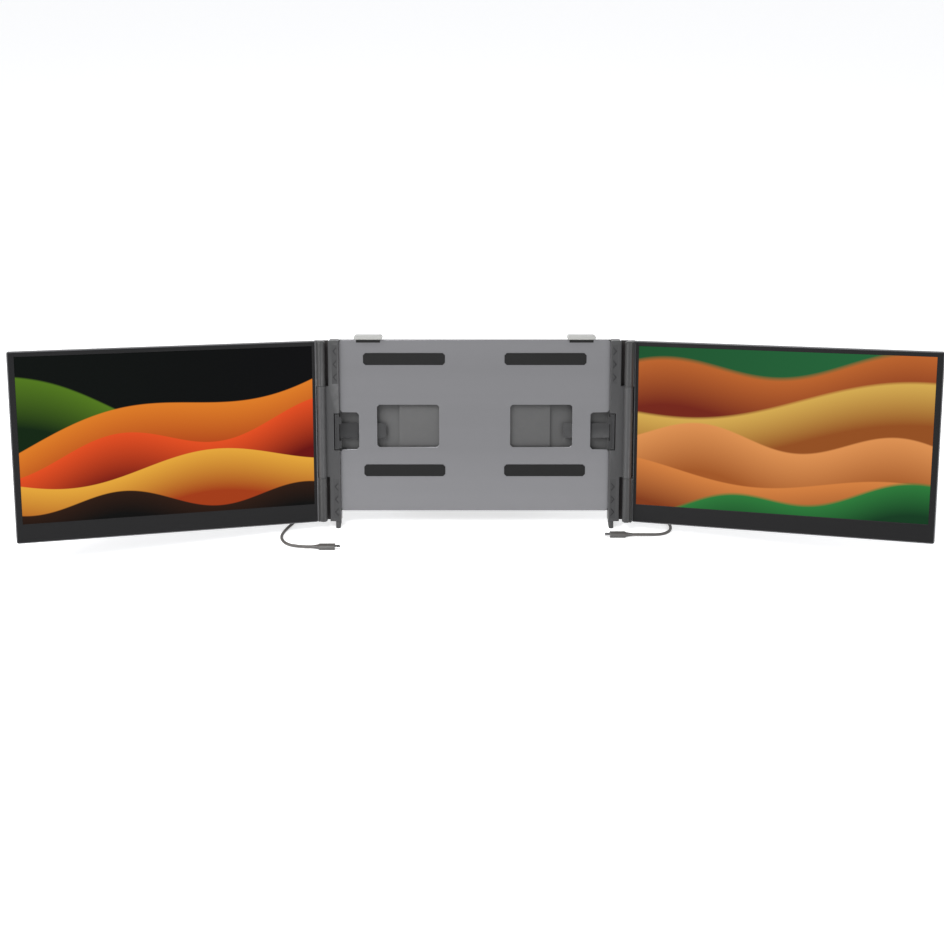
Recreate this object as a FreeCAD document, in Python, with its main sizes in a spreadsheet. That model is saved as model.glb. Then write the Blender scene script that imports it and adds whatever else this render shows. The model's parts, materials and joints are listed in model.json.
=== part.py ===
import FreeCAD
import Part

import math
import os
import re

import Sketcher

Vector = FreeCAD.Vector

# Frame of the finished part: X to the right, Y to the back, Z up, the origin on the desk under the
# middle of the part. Every piece is built upright in bracket coordinates (X out from the middle
# plane, Y back from the front of the laptop's lid, Z up along the lid) and then leaned back, and
# the screens are swung forward about their hinges.

SIZES = [
    ("lean", 13.62, "how far the bracket leans back, degrees"),
    ("swing", 19.17, "how far each screen is swung forward of flat, degrees"),
    ("reference_height", 18.42, "height of the bracket's reference point above the desk"),
    ("shift_right", -0.79, "puts the origin under the middle of the part"),
    ("shift_back", 2.54, "puts the origin under the middle of the part"),
    ("column_in", 182.0, "inner face of a column, beside the lid"),
    ("column_out", 196.5, "outer face of a column's bar"),
    ("column_front", -2.0, "front face of a column"),
    ("column_back", 19.0, "back of a column's shell"),
    ("column_low", -9.0, "bottom of a column"),
    ("column_high", 237.7, "top of a column"),
    ("foot_wide", 6.4, "width of the rubber foot under a column"),
    ("column_wall", 1.6, "wall of a column"),
    ("cover_thick", 1.6, "thickness of a column's rear cover"),
    ("column_round", 3.0, "corner radius at a column's top"),
    ("axis_out", 205.8, "hinge axis, out from the middle plane"),
    ("axis_left", -3.0, "depth of the left hinge axis, which folds shut first"),
    ("axis_right", -8.0, "depth of the right hinge axis, which folds over the left screen"),
    ("barrel_radius", 5.8, "outer radius of the hinge barrels"),
    ("barrel_low", 52.5, "lower end of a column's own barrel"),
    ("barrel_high", 176.5, "upper end of a column's own barrel"),
    ("barrel_gap", 0.4, "gap between neighbouring barrels"),
    ("saddle_back", 8.0, "back of the saddle that carries a column's barrel"),
    ("pin_radius", 2.5, "hinge pin"),
    ("pin_half", 29.0, "half the length of a hinge pin"),
    ("running_gap", 0.05, "radial running clearance of pins and arms"),
    ("sleeve_radius", 3.65, "outer radius of a friction sleeve"),
    ("sleeve_long", 24.0, "length of a friction sleeve"),
    ("guard_out", 214.5, "outer edge of the guard behind a hinge"),
    ("guard_thick", 1.4, "thickness of the guard behind a hinge"),
    ("screen_in", 212.5, "inner edge of a screen's casing, laid flat"),
    ("screen_out", 608.3, "outer edge of a screen's casing, laid flat"),
    ("screen_low", -9.0, "bottom edge of a screen"),
    ("screen_high", 237.5, "top edge of a screen"),
    ("screen_front", -3.0, "front of the bezel"),
    ("screen_back", 6.0, "back of the rear cover"),
    ("screen_wall", 1.2, "wall of the rear cover"),
    ("screen_round", 3.0, "corner radius of a screen's outline"),
    ("back_round", 2.4, "rounding of the rear cover's back edge"),
    ("rim_step", 0.3, "how far the rim stands behind the bezel's face"),
    ("bezel_thick", 1.0, "thickness of the bezel"),
    ("display_in", 217.6, "inner edge of the display area"),
    ("display_out", 599.6, "outer edge of the display area"),
    ("display_low", 15.9, "bottom of the display area"),
    ("display_high", 230.9, "top of the display area"),
    ("glass_margin", 2.0, "glass hidden under the bezel all round"),
    ("glass_thick", 1.6, "display glass"),
    ("backlight_thick", 2.2, "light guide, film and reflector stack"),
    ("leaf_out", 234.0, "far end of a hinge leaf inside the cover"),
    ("leaf_front", 2.4, "front of a hinge leaf"),
    ("leaf_thick", 2.0, "thickness of a hinge leaf"),
    ("leaf_tall", 44.0, "height of a hinge leaf"),
    ("board_in", 300.0, "inner edge of the driver board"),
    ("board_out", 430.0, "outer edge of the driver board"),
    ("board_low", 0.0, "bottom of the driver board"),
    ("board_high", 56.0, "top of the driver board"),
    ("bay_out", 189.7, "outer wall of the side clip's bay"),
    ("bay_low", 89.0, "bottom of the side clip's bay"),
    ("bay_high", 139.5, "top of the side clip's bay"),
    ("bay_back", 13.6, "back of the side clip's bay"),
    ("clip_out", 188.4, "outer face of the side clip"),
    ("clip_in", 182.6, "inner face of the side clip"),
    ("clip_low", 90.4, "bottom of the side clip"),
    ("clip_high", 138.2, "top of the side clip"),
    ("lip_in", 179.6, "tip of the side clip's fingers"),
    ("lip_thick", 1.3, "thickness of the clips' fingers"),
    ("tongue_in", 120.0, "end of the side clip's sliding tongue"),
    ("slide_front", 11.0, "front of the sliding tongues and arms"),
    ("slide_thick", 1.6, "thickness of the sliding tongues and arms"),
    ("plate_front", 7.5, "front of the front plate"),
    ("plate_back", 10.5, "back of the front plate"),
    ("plate_low", 4.0, "bottom of the front plate and the rear housing"),
    ("pad_front", 6.0, "face of the lid pads"),
    ("housing_wall", 1.8, "wall of the rear housing"),
    ("clip_travel", 24.0, "travel of a side clip toward the middle"),
    ("hook_mid", 142.5, "middle of a top clip"),
    ("hook_half", 19.1, "half the width of a top clip"),
    ("hook_low", 238.6, "underside of a top clip"),
    ("hook_high", 244.8, "top of a top clip"),
    ("hook_front", -1.8, "front of a top clip"),
    ("arm_half", 12.0, "half the width of a top clip's arm"),
    ("arm_low", 150.0, "bottom of a top clip's arm"),
    ("lip_low", 235.0, "bottom of a top clip's front lip"),
    ("stand_axis_back", 19.0, "depth of the kickstand's hinge axis"),
    ("stand_axis_high", 62.0, "height of the kickstand's hinge axis along the bracket"),
    ("stand_half", 98.0, "half the width of the kickstand"),
    ("stand_long", 116.0, "hinge axis to the middle of the foot pad"),
    ("stand_thick", 3.0, "thickness of the kickstand"),
    ("stand_barrel", 3.4, "radius of the kickstand's barrel"),
    ("stand_pin", 1.6, "radius of the kickstand's pin"),
    ("stand_pad", 2.4, "radius of the kickstand's foot pad"),
    ("recess_back", 14.8, "floor of the kickstand's recess"),
    ("recess_high", 184.0, "top of the kickstand's recess"),
    ("recess_low", 55.0, "bottom of the kickstand's recess"),
    ("recess_half", 100.0, "half the width of the kickstand's recess"),
    ("port_mid", 189.2, "middle of the ports and buttons across a column"),
    ("lead_port", 26.0, "height of the port that takes the lead"),
    ("power_port", 46.0, "height of the spare port"),
    ("button_power", 196.0, "height of the power button"),
    ("button_menu", 180.0, "height of the menu button"),
    ("button_radius", 2.9, "radius of a button"),
    ("lead_radius", 2.0, "radius of a lead"),
]

WORDS = {name for name, number, note in SIZES}
SIDES = (("left", -1), ("right", 1))

doc = FreeCAD.newDocument("screen_extender")
sheet = doc.addObject("Spreadsheet::Sheet", "sizes")
for row, (name, number, note) in enumerate(SIZES, start=1):
    sheet.set("A%d" % row, name)
    sheet.set("B%d" % row, "%g" % number)
    sheet.setAlias("B%d" % row, name)
    sheet.set("C%d" % row, note)
doc.recompute()


def value(name):
    """The number that a named cell holds."""
    return float(sheet.get(name))


def total(text):
    """The number that a plain sum of names and numbers comes to."""
    result = 0.0
    sign = 1
    for word in text.split():
        if word in ("+", "-"):
            sign = 1 if word == "+" else -1
        else:
            result += sign * (value(word) if word in WORDS else float(word))
    return result


def on_sheet(text):
    """An expression in plain names, with each name looked up on the sheet."""
    return re.sub(r"[a-z_]+", lambda found: "sizes." + found.group() if found.group() in WORDS
                  else found.group(), str(text))


# Building blocks

def block(name, x, y, z):
    """A box whose low and high bound along each axis are expressions."""
    solid = doc.addObject("Part::Box", name)
    for prop, axis, (low, high) in zip(("Length", "Width", "Height"), "xyz", (x, y, z)):
        solid.setExpression(prop, on_sheet("(%s) - (%s)" % (high, low)))
        solid.setExpression("Placement.Base." + axis, on_sheet(low))
    return solid


TURNS = {"x": FreeCAD.Rotation(Vector(0, 1, 0), 90),
         "y": FreeCAD.Rotation(Vector(1, 0, 0), -90),
         "z": FreeCAD.Rotation()}


def rod(name, along, start, radius, length):
    """A cylinder that starts at a point and runs up along one axis."""
    solid = doc.addObject("Part::Cylinder", name)
    solid.Placement = FreeCAD.Placement(Vector(), TURNS[along])
    for axis, place in zip("xyz", start):
        solid.setExpression("Placement.Base." + axis, on_sheet(place))
    solid.setExpression("Radius", on_sheet(radius))
    solid.setExpression("Height", on_sheet(length))
    return solid


def joined(name, parts):
    """Parts that touch, made one."""
    whole = doc.addObject("Part::MultiFuse", name)
    whole.Shapes = parts
    whole.Refine = True
    return whole


def cut(name, base, tools):
    """A base less one or more tools."""
    result = doc.addObject("Part::Cut", name)
    result.Base = base
    result.Tool = tools[0] if len(tools) == 1 else joined(name + "_tools", tools)
    result.Refine = True
    return result


def group(name, parts):
    """Separate solids that share one node."""
    whole = doc.addObject("Part::Compound", name)
    whole.Links = parts
    return whole


def softened(name, base, edges, radius, kind="Part::Fillet"):
    """A base with the edges that pass a test rounded or chamfered."""
    doc.recompute()
    result = doc.addObject(kind, name)
    result.Base = base
    size = value(radius) if radius in WORDS else float(radius)
    chosen = [i for i, edge in enumerate(base.Shape.Edges, start=1) if edges(edge)]
    result.Edges = [(i, size, size) for i in chosen]
    return result


def runs_along(axis):
    """A test for straight edges along one axis."""
    def test(edge):
        if edge.Curve.TypeId != "Part::GeomLine":
            return False
        return abs(getattr(edge.Curve.Direction, axis)) > 0.999
    return test


def middle(edge):
    """The middle of an edge."""
    return edge.CenterOfMass


class Body:
    """A PartDesign body with sketches on its own origin planes."""

    # How far a plane's normal runs along the axis that it faces
    FACING = {"XY_Plane": 1, "XZ_Plane": -1, "YZ_Plane": 1}

    def __init__(self, name):
        self.name = name
        self.body = doc.addObject("PartDesign::Body", name)
        self.count = 0

    def sketch(self, role, offset):
        """An empty sketch on an origin plane, moved along the axis that the plane faces."""
        self.count += 1
        plane = [item for item in self.body.Origin.OriginFeatures if item.Role == role][0]
        sketch = self.body.newObject("Sketcher::SketchObject", "%s_sketch_%d" % (self.name, self.count))
        sketch.AttachmentSupport = (plane, "")
        sketch.MapMode = "FlatFace"
        sketch.setExpression("AttachmentOffset.Base.z",
                             on_sheet("%d * (%s)" % (self.FACING[role], offset)))
        return sketch

    @staticmethod
    def hold(sketch, item, point, x, y, start=Vector(1, 1, 0)):
        """Ties a point of a sketch to two expressions; the start is where it lies at first."""
        for kind, text, first in (("DistanceX", x, start.x), ("DistanceY", y, start.y)):
            index = sketch.addConstraint(Sketcher.Constraint(kind, -1, 1, item, point, first))
            sketch.setExpression("Constraints[%d]" % index, on_sheet(text))

    def outline(self, role, offset, corners):
        """A closed outline of straight lines through the corners."""
        sketch = self.sketch(role, offset)
        turn = 2 * math.pi / len(corners)
        start = [Vector(50 * math.cos(turn * i), 50 * math.sin(turn * i), 0)
                 for i in range(len(corners))]
        for i in range(len(corners)):
            sketch.addGeometry(Part.LineSegment(start[i], start[(i + 1) % len(corners)]), False)
        for i in range(len(corners)):
            sketch.addConstraint(Sketcher.Constraint("Coincident", i, 2, (i + 1) % len(corners), 1))
        for i, (x, y) in enumerate(corners):
            self.hold(sketch, i, 1, x, y)
        return sketch

    def rectangle(self, role, offset, x, y):
        """A rectangle between low and high bounds."""
        return self.outline(role, offset, [(x[0], y[0]), (x[1], y[0]), (x[1], y[1]), (x[0], y[1])])

    def circle(self, role, offset, centre, radius):
        """A circle about a centre."""
        sketch = self.sketch(role, offset)
        sketch.addGeometry(Part.Circle(Vector(1, 1, 0), Vector(0, 0, 1), 2), False)
        self.hold(sketch, 0, 3, *centre)
        index = sketch.addConstraint(Sketcher.Constraint("Radius", 0, 2))
        sketch.setExpression("Constraints[%d]" % index, on_sheet(radius))
        return sketch

    def extrude(self, kind, sketch, length, toward):
        """A pad or pocket toward +1 or -1 of the axis that the sketch's plane faces."""
        before = self.body.Shape.Volume if self.body.Tip else 0.0
        feature = self.body.newObject("PartDesign::" + kind, sketch.Name.replace("sketch", kind.lower()))
        feature.Profile = sketch
        feature.setExpression("Length", on_sheet(length))
        role = sketch.AttachmentSupport[0][0].Role
        along = toward * self.FACING[role]
        feature.Reversed = (along < 0) if kind == "Pad" else (along > 0)
        doc.recompute()
        grown = self.body.Shape.Volume - before
        if (grown > 0) != (kind == "Pad") or abs(grown) < 0.1:
            raise RuntimeError("%s changed nothing on %s" % (feature.Name, self.name))
        return feature

    def pad(self, sketch, length, toward=1):
        return self.extrude("Pad", sketch, length, toward)

    def pocket(self, sketch, length, toward=1):
        return self.extrude("Pocket", sketch, length, toward)

    def soften(self, kind, edges, size):
        """Fillets or chamfers the edges of the present solid that pass a test."""
        base = self.body.Tip
        chosen = ["Edge%d" % i for i, edge in enumerate(base.Shape.Edges, start=1) if edges(edge)]
        feature = self.body.newObject("PartDesign::" + kind, "%s_%s_%d" % (self.name, kind, self.count))
        feature.Base = (base, chosen)
        feature.setExpression("Radius" if kind == "Fillet" else "Size", on_sheet(size))
        doc.recompute()
        self.count += 1
        return feature


# Places of the finished pieces

def leaned():
    """The bracket's lean and its height above the desk."""
    base = Vector(value("shift_right"), value("shift_back"), value("reference_height"))
    return FreeCAD.Placement(base, FreeCAD.Rotation(Vector(1, 0, 0), -value("lean")))


def swung(side):
    """A screen's swing about its hinge axis, in bracket coordinates."""
    sign = dict(SIDES)[side]
    axis = Vector(sign * value("axis_out"), value("axis_" + side), 0)
    turn = FreeCAD.Rotation(Vector(0, 0, 1), -sign * value("swing"))
    return FreeCAD.Placement(axis - turn.multVec(axis), turn)


nodes = {}


def keep(name, solid, side=None, swings=False):
    """Names a finished piece; a left piece is the mirror image of the one that was built."""
    if solid.TypeId in ("Part::Box", "Part::Cylinder"):
        solid = group(name + "_piece", [solid])
    if side == "left":
        mirrored = doc.addObject("Part::Mirroring", name + "_mirrored")
        mirrored.Source = solid
        mirrored.Normal = Vector(1, 0, 0)
        solid = mirrored
    solid.Label = name
    nodes[name] = (solid, side if swings else None)


# The side screens

def rear_cover(side):
    """Aluminium tray: rounded outline, thin walls, two slots for the hinge leaves."""
    part = Body(side + "_cover_tray")
    across = ("screen_in", "screen_out")
    tall = ("screen_low", "screen_high")
    part.pad(part.rectangle("XZ_Plane", "screen_back", across, tall),
             "screen_back - screen_front - rim_step", -1)
    part.soften("Fillet", runs_along("y"), "screen_round")
    back = value("screen_back")
    part.soften("Chamfer", lambda edge: abs(middle(edge).y - back) < 0.01, "0.6 * back_round")
    inside = part.rectangle("XZ_Plane", "screen_front + rim_step",
                            ("screen_in + screen_wall", "screen_out - screen_wall"),
                            ("screen_low + screen_wall", "screen_high - screen_wall"))
    part.pocket(inside, "screen_back - screen_front - rim_step - screen_wall", 1)
    for low, high in leaf_bounds():
        slot = part.rectangle("XZ_Plane", "leaf_front", ("screen_in - 1", "screen_in + 2"), (low, high))
        part.pocket(slot, "leaf_thick", 1)
    keep(side + "_rear_cover", part.body, side, True)


def leaf_bounds():
    """Low and high ends of the two hinge leaves of a screen."""
    return (("screen_low + 8", "screen_low + 8 + leaf_tall"),
            ("screen_high - 8 - leaf_tall", "screen_high - 8"))


def front_frame(side):
    """Black bezel set inside the rim, with a wider band below the display."""
    part = Body(side + "_bezel")
    part.pad(part.rectangle("XZ_Plane", "screen_front",
                            ("screen_in + screen_wall", "screen_out - screen_wall"),
                            ("screen_low + screen_wall", "screen_high - screen_wall")),
             "bezel_thick", 1)
    part.pocket(part.rectangle("XZ_Plane", "screen_front", ("display_in", "display_out"),
                               ("display_low", "display_high")), "bezel_thick", 1)
    front = value("screen_front")
    inner = (value("display_in"), value("display_out"), value("display_low"), value("display_high"))

    def inner_front(edge):
        spot = middle(edge)
        near = (abs(spot.x - inner[0]), abs(spot.x - inner[1]),
                abs(spot.z - inner[2]), abs(spot.z - inner[3]))
        return abs(spot.y - front) < 0.01 and min(near) < 0.01

    part.soften("Chamfer", inner_front, "0.5")
    keep(side + "_front_frame", part.body, side, True)


def display_stack(side):
    """Display glass and the backlight behind it."""
    across = ("display_in - glass_margin", "display_out + glass_margin")
    tall = ("display_low - glass_margin", "display_high + glass_margin")
    glass = block(side + "_glass", across,
                  ("screen_front + bezel_thick", "screen_front + bezel_thick + glass_thick"), tall)
    keep(side + "_display_panel", glass, side, True)
    stack = block(side + "_stack", across,
                  ("screen_front + bezel_thick + glass_thick",
                   "screen_front + bezel_thick + glass_thick + backlight_thick"), tall)
    keep(side + "_backlight", stack, side, True)


def driver_board(side):
    """Circuit board behind the backlight, with its controller, coils and connectors."""
    base = "screen_back - screen_wall"
    board = block(side + "_board", ("board_in", "board_out"), (base + " - 1.0", base),
                  ("board_low", "board_high"))
    chip = block(side + "_chip", ("board_in + 56", "board_in + 74"), (base + " - 2.0", base + " - 1.0"),
                 ("board_low + 22", "board_low + 40"))
    parts = [board, chip]
    for i in range(3):
        start = "board_in + %d" % (12 + 14 * i)
        parts.append(block("%s_coil_%d" % (side, i), (start, start + " + 8"),
                           (base + " - 2.2", base + " - 1.0"), ("board_low + 8", "board_low + 16")))
    parts.append(block(side + "_panel_plug", ("board_out - 44", "board_out - 12"),
                       (base + " - 2.0", base + " - 1.0"), ("board_high - 10", "board_high - 5")))
    keep(side + "_driver_board", joined(side + "_board_whole", parts), side, True)


def knuckle_profile(part, axis, corner_out, corner_back, start, front):
    """Barrel in front and a square saddle behind it, as one closed outline in plan."""
    sketch = part.sketch("XY_Plane", start)
    inner = "axis_out - barrel_radius"
    outer = "axis_out + barrel_radius"
    straight = [(inner, axis)]
    if front:
        straight += [(inner, "column_front"), ("column_out - 1", "column_front"),
                     ("column_out - 1", corner_back)]
    else:
        straight += [(inner, corner_back)]
    straight += [(corner_out, corner_back)]
    if corner_out != outer:
        straight += [(corner_out, axis)]
    straight += [(outer, axis)]
    guess = [Vector(total(x), total(y), 0) for x, y in straight]
    for i in range(len(straight) - 1):
        sketch.addGeometry(Part.LineSegment(guess[i], guess[i + 1]), False)
    last = len(straight) - 1
    depth = value(axis)
    radius = value("barrel_radius")
    centre = Vector(value("axis_out"), depth, 0)
    arc = Part.Arc(Part.Circle(centre, Vector(0, 0, 1), radius), math.pi, 2 * math.pi)
    sketch.addGeometry(arc, False)
    for i in range(last - 1):
        sketch.addConstraint(Sketcher.Constraint("Coincident", i, 2, i + 1, 1))
    for i in range(last):
        part.hold(sketch, i, 1, *straight[i], guess[i])
    part.hold(sketch, last - 1, 2, *straight[last], guess[last])
    sketch.addConstraint(Sketcher.Constraint("Coincident", last, 1, 0, 1))
    sketch.addConstraint(Sketcher.Constraint("Coincident", last, 2, last - 1, 2))
    index = sketch.addConstraint(Sketcher.Constraint("DistanceY", -1, 1, last, 3, depth))
    sketch.setExpression("Constraints[%d]" % index, on_sheet(axis))
    return sketch


def knuckle(side, name, low, high, mouth, inward):
    """Screen knuckle: barrel with a bevelled free end, saddle, bore, sleeve pocket and leaf."""
    axis = "axis_" + side
    part = Body("%s_%s" % (side, name))
    part.pad(knuckle_profile(part, axis, "screen_in", "screen_back", low, False),
             "(%s) - (%s)" % (high, low), 1)
    corner = value("axis_out") - value("barrel_radius")
    back = value("screen_back")
    part.soften("Fillet", lambda edge: runs_along("z")(edge) and abs(middle(edge).x - corner) < 0.01
                and abs(middle(edge).y - back) < 0.01, "back_round")
    end = value("screen_high") if inward > 0 else value("screen_low")
    part.soften("Chamfer", lambda edge: edge.Curve.TypeId == "Part::GeomCircle"
                and abs(middle(edge).z - end) < 0.01 and middle(edge).y < value(axis),
                "1.6")
    part.pocket(part.circle("XY_Plane", mouth, ("axis_out", axis), "pin_radius + running_gap"),
                "pin_half + 2", inward)
    part.pocket(part.circle("XY_Plane", mouth, ("axis_out", axis), "sleeve_radius"),
                "sleeve_long + 2", inward)
    bounds = leaf_bounds()[1 if inward > 0 else 0]
    part.pad(part.rectangle("XZ_Plane", "leaf_front", ("screen_in - 1", "leaf_out"), bounds),
             "leaf_thick", 1)
    keep("%s_%s" % (side, name), part.body, side, True)


def knuckles(side):
    """Upper and lower knuckles with the friction sleeves pressed into them."""
    low_mouth = "barrel_low - barrel_gap"
    high_mouth = "barrel_high + barrel_gap"
    knuckle(side, "lower_knuckle", "screen_low", low_mouth, low_mouth, -1)
    knuckle(side, "upper_knuckle", high_mouth, "screen_high", high_mouth, 1)
    axis = "axis_" + side
    sleeves = []
    for end, start in (("low", low_mouth + " - 1 - sleeve_long"), ("high", high_mouth + " + 1")):
        part = Body("%s_sleeve_%s" % (side, end))
        angles = [math.radians(20 + 32 * i) for i in range(11)]
        rim = [("axis_out + sleeve_radius * %.4f" % math.cos(a),
                axis + " + sleeve_radius * %.4f" % math.sin(a)) for a in angles]
        bore = [("axis_out + (pin_radius + 0.16) * %.4f" % math.cos(a),
                 axis + " + (pin_radius + 0.16) * %.4f" % math.sin(a)) for a in reversed(angles)]
        part.pad(part.outline("XY_Plane", start, rim + bore), "sleeve_long", 1)
        sleeves.append(part.body)
    keep(side + "_friction_sleeves", group(side + "_sleeves", sleeves), side, True)


def hinge_pins(side):
    """Two steel pins, each half in the column's barrel and half in a knuckle."""
    pins = [rod("%s_pin_%s" % (side, end), "z", ("axis_out", "axis_" + side, end + " - pin_half"),
                "pin_radius", "2 * pin_half") for end in ("barrel_low", "barrel_high")]
    keep(side + "_hinge_pins", group(side + "_pins", pins), side)


# The hinge columns

def column_shell(side):
    """Column bar with its barrel, hollow from the back, and a bay for the side clip."""
    axis = "axis_" + side
    part = Body(side + "_column")
    part.pad(part.rectangle("XY_Plane", "column_low", ("column_in", "column_out"),
                            ("column_front", "column_back")), "column_high - column_low", 1)
    top = value("column_high")
    front = value("column_front")
    part.soften("Fillet", lambda edge: runs_along("y")(edge) and abs(middle(edge).z - top) < 0.01,
                "column_round")
    part.soften("Chamfer", lambda edge: abs(middle(edge).y - front) < 0.01
                and middle(edge).z > value("column_low") + 1, "0.7")
    part.pad(knuckle_profile(part, axis, "axis_out + barrel_radius", "saddle_back", "barrel_low", True),
             "barrel_high - barrel_low", 1)
    outer = value("axis_out") + value("barrel_radius")
    part.soften("Fillet", lambda edge: runs_along("z")(edge) and abs(middle(edge).x - outer) < 0.01
                and middle(edge).y > value("saddle_back") - 0.01, "3")
    part.pocket(part.rectangle("XZ_Plane", "column_back",
                               ("column_in + column_wall", "column_out - column_wall"),
                               ("column_low + column_wall", "column_high - column_wall")),
                "column_back - column_front - column_wall", -1)
    part.pad(part.rectangle("XZ_Plane", "column_front + 0.4", ("column_in", "bay_out + 1.4"),
                            ("bay_low - 1.4", "bay_high + 1.4")), "bay_back + 1.4 - column_front - 0.4", 1)
    part.pocket(part.rectangle("XZ_Plane", "column_front - 1", ("column_in - 1", "bay_out"),
                               ("bay_low", "bay_high")), "bay_back - column_front + 1", 1)
    for start, way in (("barrel_low", 1), ("barrel_high", -1)):
        part.pocket(part.circle("XY_Plane", start, ("axis_out", axis), "pin_radius"), "pin_half", way)
    for low, high in bar_bounds():
        part.pocket(part.rectangle("XZ_Plane", "13.5", ("column_in - 1", "column_in + 2"),
                                   (low, high)), "3", 1)
    for low, high in panel_bounds():
        part.pocket(part.rectangle("XZ_Plane", "column_front - 1", ("183.6", "191.4"), (low, high)),
                    "1.4", 1)
    keep(side + "_column_shell", part.body, side)


def bar_bounds():
    """Low and high edges of the two crossbars."""
    return (("6.5", "18.5"), ("214", "228"))


def panel_bounds():
    """Low and high edges of a column's two grip panels."""
    return (("column_low + 4", "barrel_low - 3"), ("barrel_high + 3", "column_high - 6"))


def grip_panels(side):
    """Two slim inlays beside the lid, with a shallow zigzag groove."""
    panels = []
    for end, (low, high) in zip(("low", "high"), panel_bounds()):
        part = Body("%s_inlay_%s" % (side, end))
        part.pad(part.rectangle("XZ_Plane", "column_front", ("183.6", "191.4"), (low, high)), "0.4", 1)
        for i in range(3):
            foot = "(%s) + %g" % (low, 3.5 + 17.5 * i)
            stripe = part.outline("XZ_Plane", "column_front",
                                  [("185", foot), ("190", foot + " + 5.5"), ("185", foot + " + 11"),
                                   ("185", foot + " + 9.8"), ("188.9", foot + " + 5.5"),
                                   ("185", foot + " + 1.2")])
            part.pocket(stripe, "0.2", 1)
        panels.append(part.body)
    keep(side + "_grip_panels", group(side + "_inlays", panels), side)


def hinge_guard(side):
    """Strip behind the hinge that hides the wires between column and screen, with a clipped edge."""
    part = Body(side + "_guard")
    part.pad(part.outline("XY_Plane", "column_low + 0.5",
                          [("column_out", "saddle_back"), ("guard_out", "saddle_back"),
                           ("guard_out", "saddle_back + guard_thick - 0.6"),
                           ("guard_out - 0.6", "saddle_back + guard_thick"),
                           ("column_out + 2", "saddle_back + guard_thick"),
                           ("column_out", "saddle_back + guard_thick + 2")]),
             "column_high - column_low - 1", 1)
    keep(side + "_hinge_guard", part.body, side)


def column_cover(side):
    """Rear cover of a column, with two port mouths and two button holes."""
    plate = block(side + "_back_plate", ("column_in", "column_out"),
                  ("column_back", "column_back + cover_thick"), ("column_low", "column_high"))
    top = value("column_high")
    plate = softened(side + "_back_rounded", plate,
                     lambda edge: runs_along("y")(edge) and abs(middle(edge).z - top) < 0.01,
                     "column_round")
    tools = []
    for port in ("lead_port", "power_port"):
        tools.append(block("%s_mouth_%s" % (side, port), ("port_mid - 1.75", "port_mid + 1.75"),
                           ("column_back - 1", "column_back + cover_thick + 1"),
                           (port + " - 4.9", port + " + 4.9")))
    for button in ("button_power", "button_menu"):
        tools.append(rod("%s_hole_%s" % (side, button), "y", ("port_mid", "column_back - 1", button),
                         "button_radius + 0.15", "cover_thick + 2"))
    keep(side + "_column_cover", cut(side + "_back_cut", plate, tools), side)


def port_board(side):
    """Two narrow circuit boards: one carries the sockets, the other the button switches."""
    board = block(side + "_strip", ("port_mid - 5", "port_mid + 5"), ("10.4", "11.4"),
                  ("lead_port - 6.5", "power_port + 14"))
    switch = block(side + "_strip_chip", ("port_mid - 3", "port_mid + 3"), ("9.2", "10.4"),
                   ("lead_port + 4", "lead_port + 14"))
    lower = joined(side + "_strip_whole", [board, switch])
    switches = block(side + "_strip_top", ("port_mid - 5", "port_mid + 5"), ("14.0", "15.0"),
                     ("button_menu - 8", "button_power + 8"))
    domes = [block("%s_dome_%s" % (side, button), ("port_mid - 1.5", "port_mid + 1.5"),
                   ("15.0", "16.2"), (button + " - 1.5", button + " + 1.5"))
             for button in ("button_power", "button_menu")]
    upper = joined(side + "_strip_switches", [switches] + domes)
    keep(side + "_port_board", group(side + "_boards", [lower, upper]), side)


def usb_sockets(side):
    """Two oval sockets, each with its tongue."""
    sockets = []
    for port in ("lead_port", "power_port"):
        shell = oval(side + "_shell_" + port, port, 1.6, "11.4", "column_back + cover_thick - 0.2")
        bore = oval(side + "_bore_" + port, port, 1.3, "12.6", "column_back + cover_thick")
        hollow = cut(side + "_socket_shell_" + port, shell, [bore])
        tongue = block(side + "_tongue_" + port, ("port_mid - 0.35", "port_mid + 0.35"),
                       ("12.6", "column_back"), (port + " - 3.3", port + " + 3.3"))
        sockets.append(joined(side + "_socket_" + port, [hollow, tongue]))
    keep(side + "_usb_sockets", group(side + "_sockets", sockets), side)


def oval(name, height, radius, start, end):
    """An oval bar along Y, its round ends drawn with five flats each."""
    part = Body(name)
    corners = []
    for end_way in (1, -1):
        for step in range(6):
            angle = math.pi * step / 5 if end_way > 0 else math.pi * (1 + step / 5)
            corners.append(("port_mid + %.4f" % (radius * math.cos(angle)),
                            "%s + %.4f" % (height, end_way * 3.1 + radius * math.sin(angle))))
    part.pad(part.outline("XZ_Plane", start, corners), "(%s) - (%s)" % (end, start), 1)
    return part.body


def buttons(side):
    """Two round buttons in the rear cover, each with a collar that keeps it in."""
    for name, button in (("power_button", "button_power"), ("menu_button", "button_menu")):
        cap = rod("%s_%s_cap" % (side, name), "y", ("port_mid", "column_back - 0.7", button),
                  "button_radius", "cover_thick + 1.6")
        collar = rod("%s_%s_collar" % (side, name), "y", ("port_mid", "column_back - 1.6", button),
                     "button_radius + 0.9", "0.9")
        whole = joined("%s_%s_whole" % (side, name), [cap, collar])
        keep("%s_%s" % (side, name), whole, side)


def rubber_foot(side):
    """Wedge foot under a column: its top follows the lean, its sole lies flat on the desk."""
    part = Body(side + "_foot")

    def sole(depth):
        return "(%s) * tan(lean * 1 deg) - reference_height / cos(lean * 1 deg)" % depth

    front = "column_front + 0.5"
    back = "column_back + cover_thick - 0.5"
    part.pad(part.outline("YZ_Plane", "column_in + 0.8",
                          [(front, "column_low"), (back, "column_low"), (back, sole(back)),
                           (front, sole(front))]),
             "foot_wide", 1)
    part.soften("Chamfer", runs_along("z"), "1.6")
    keep(side + "_rubber_foot", part.body, side)


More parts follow.
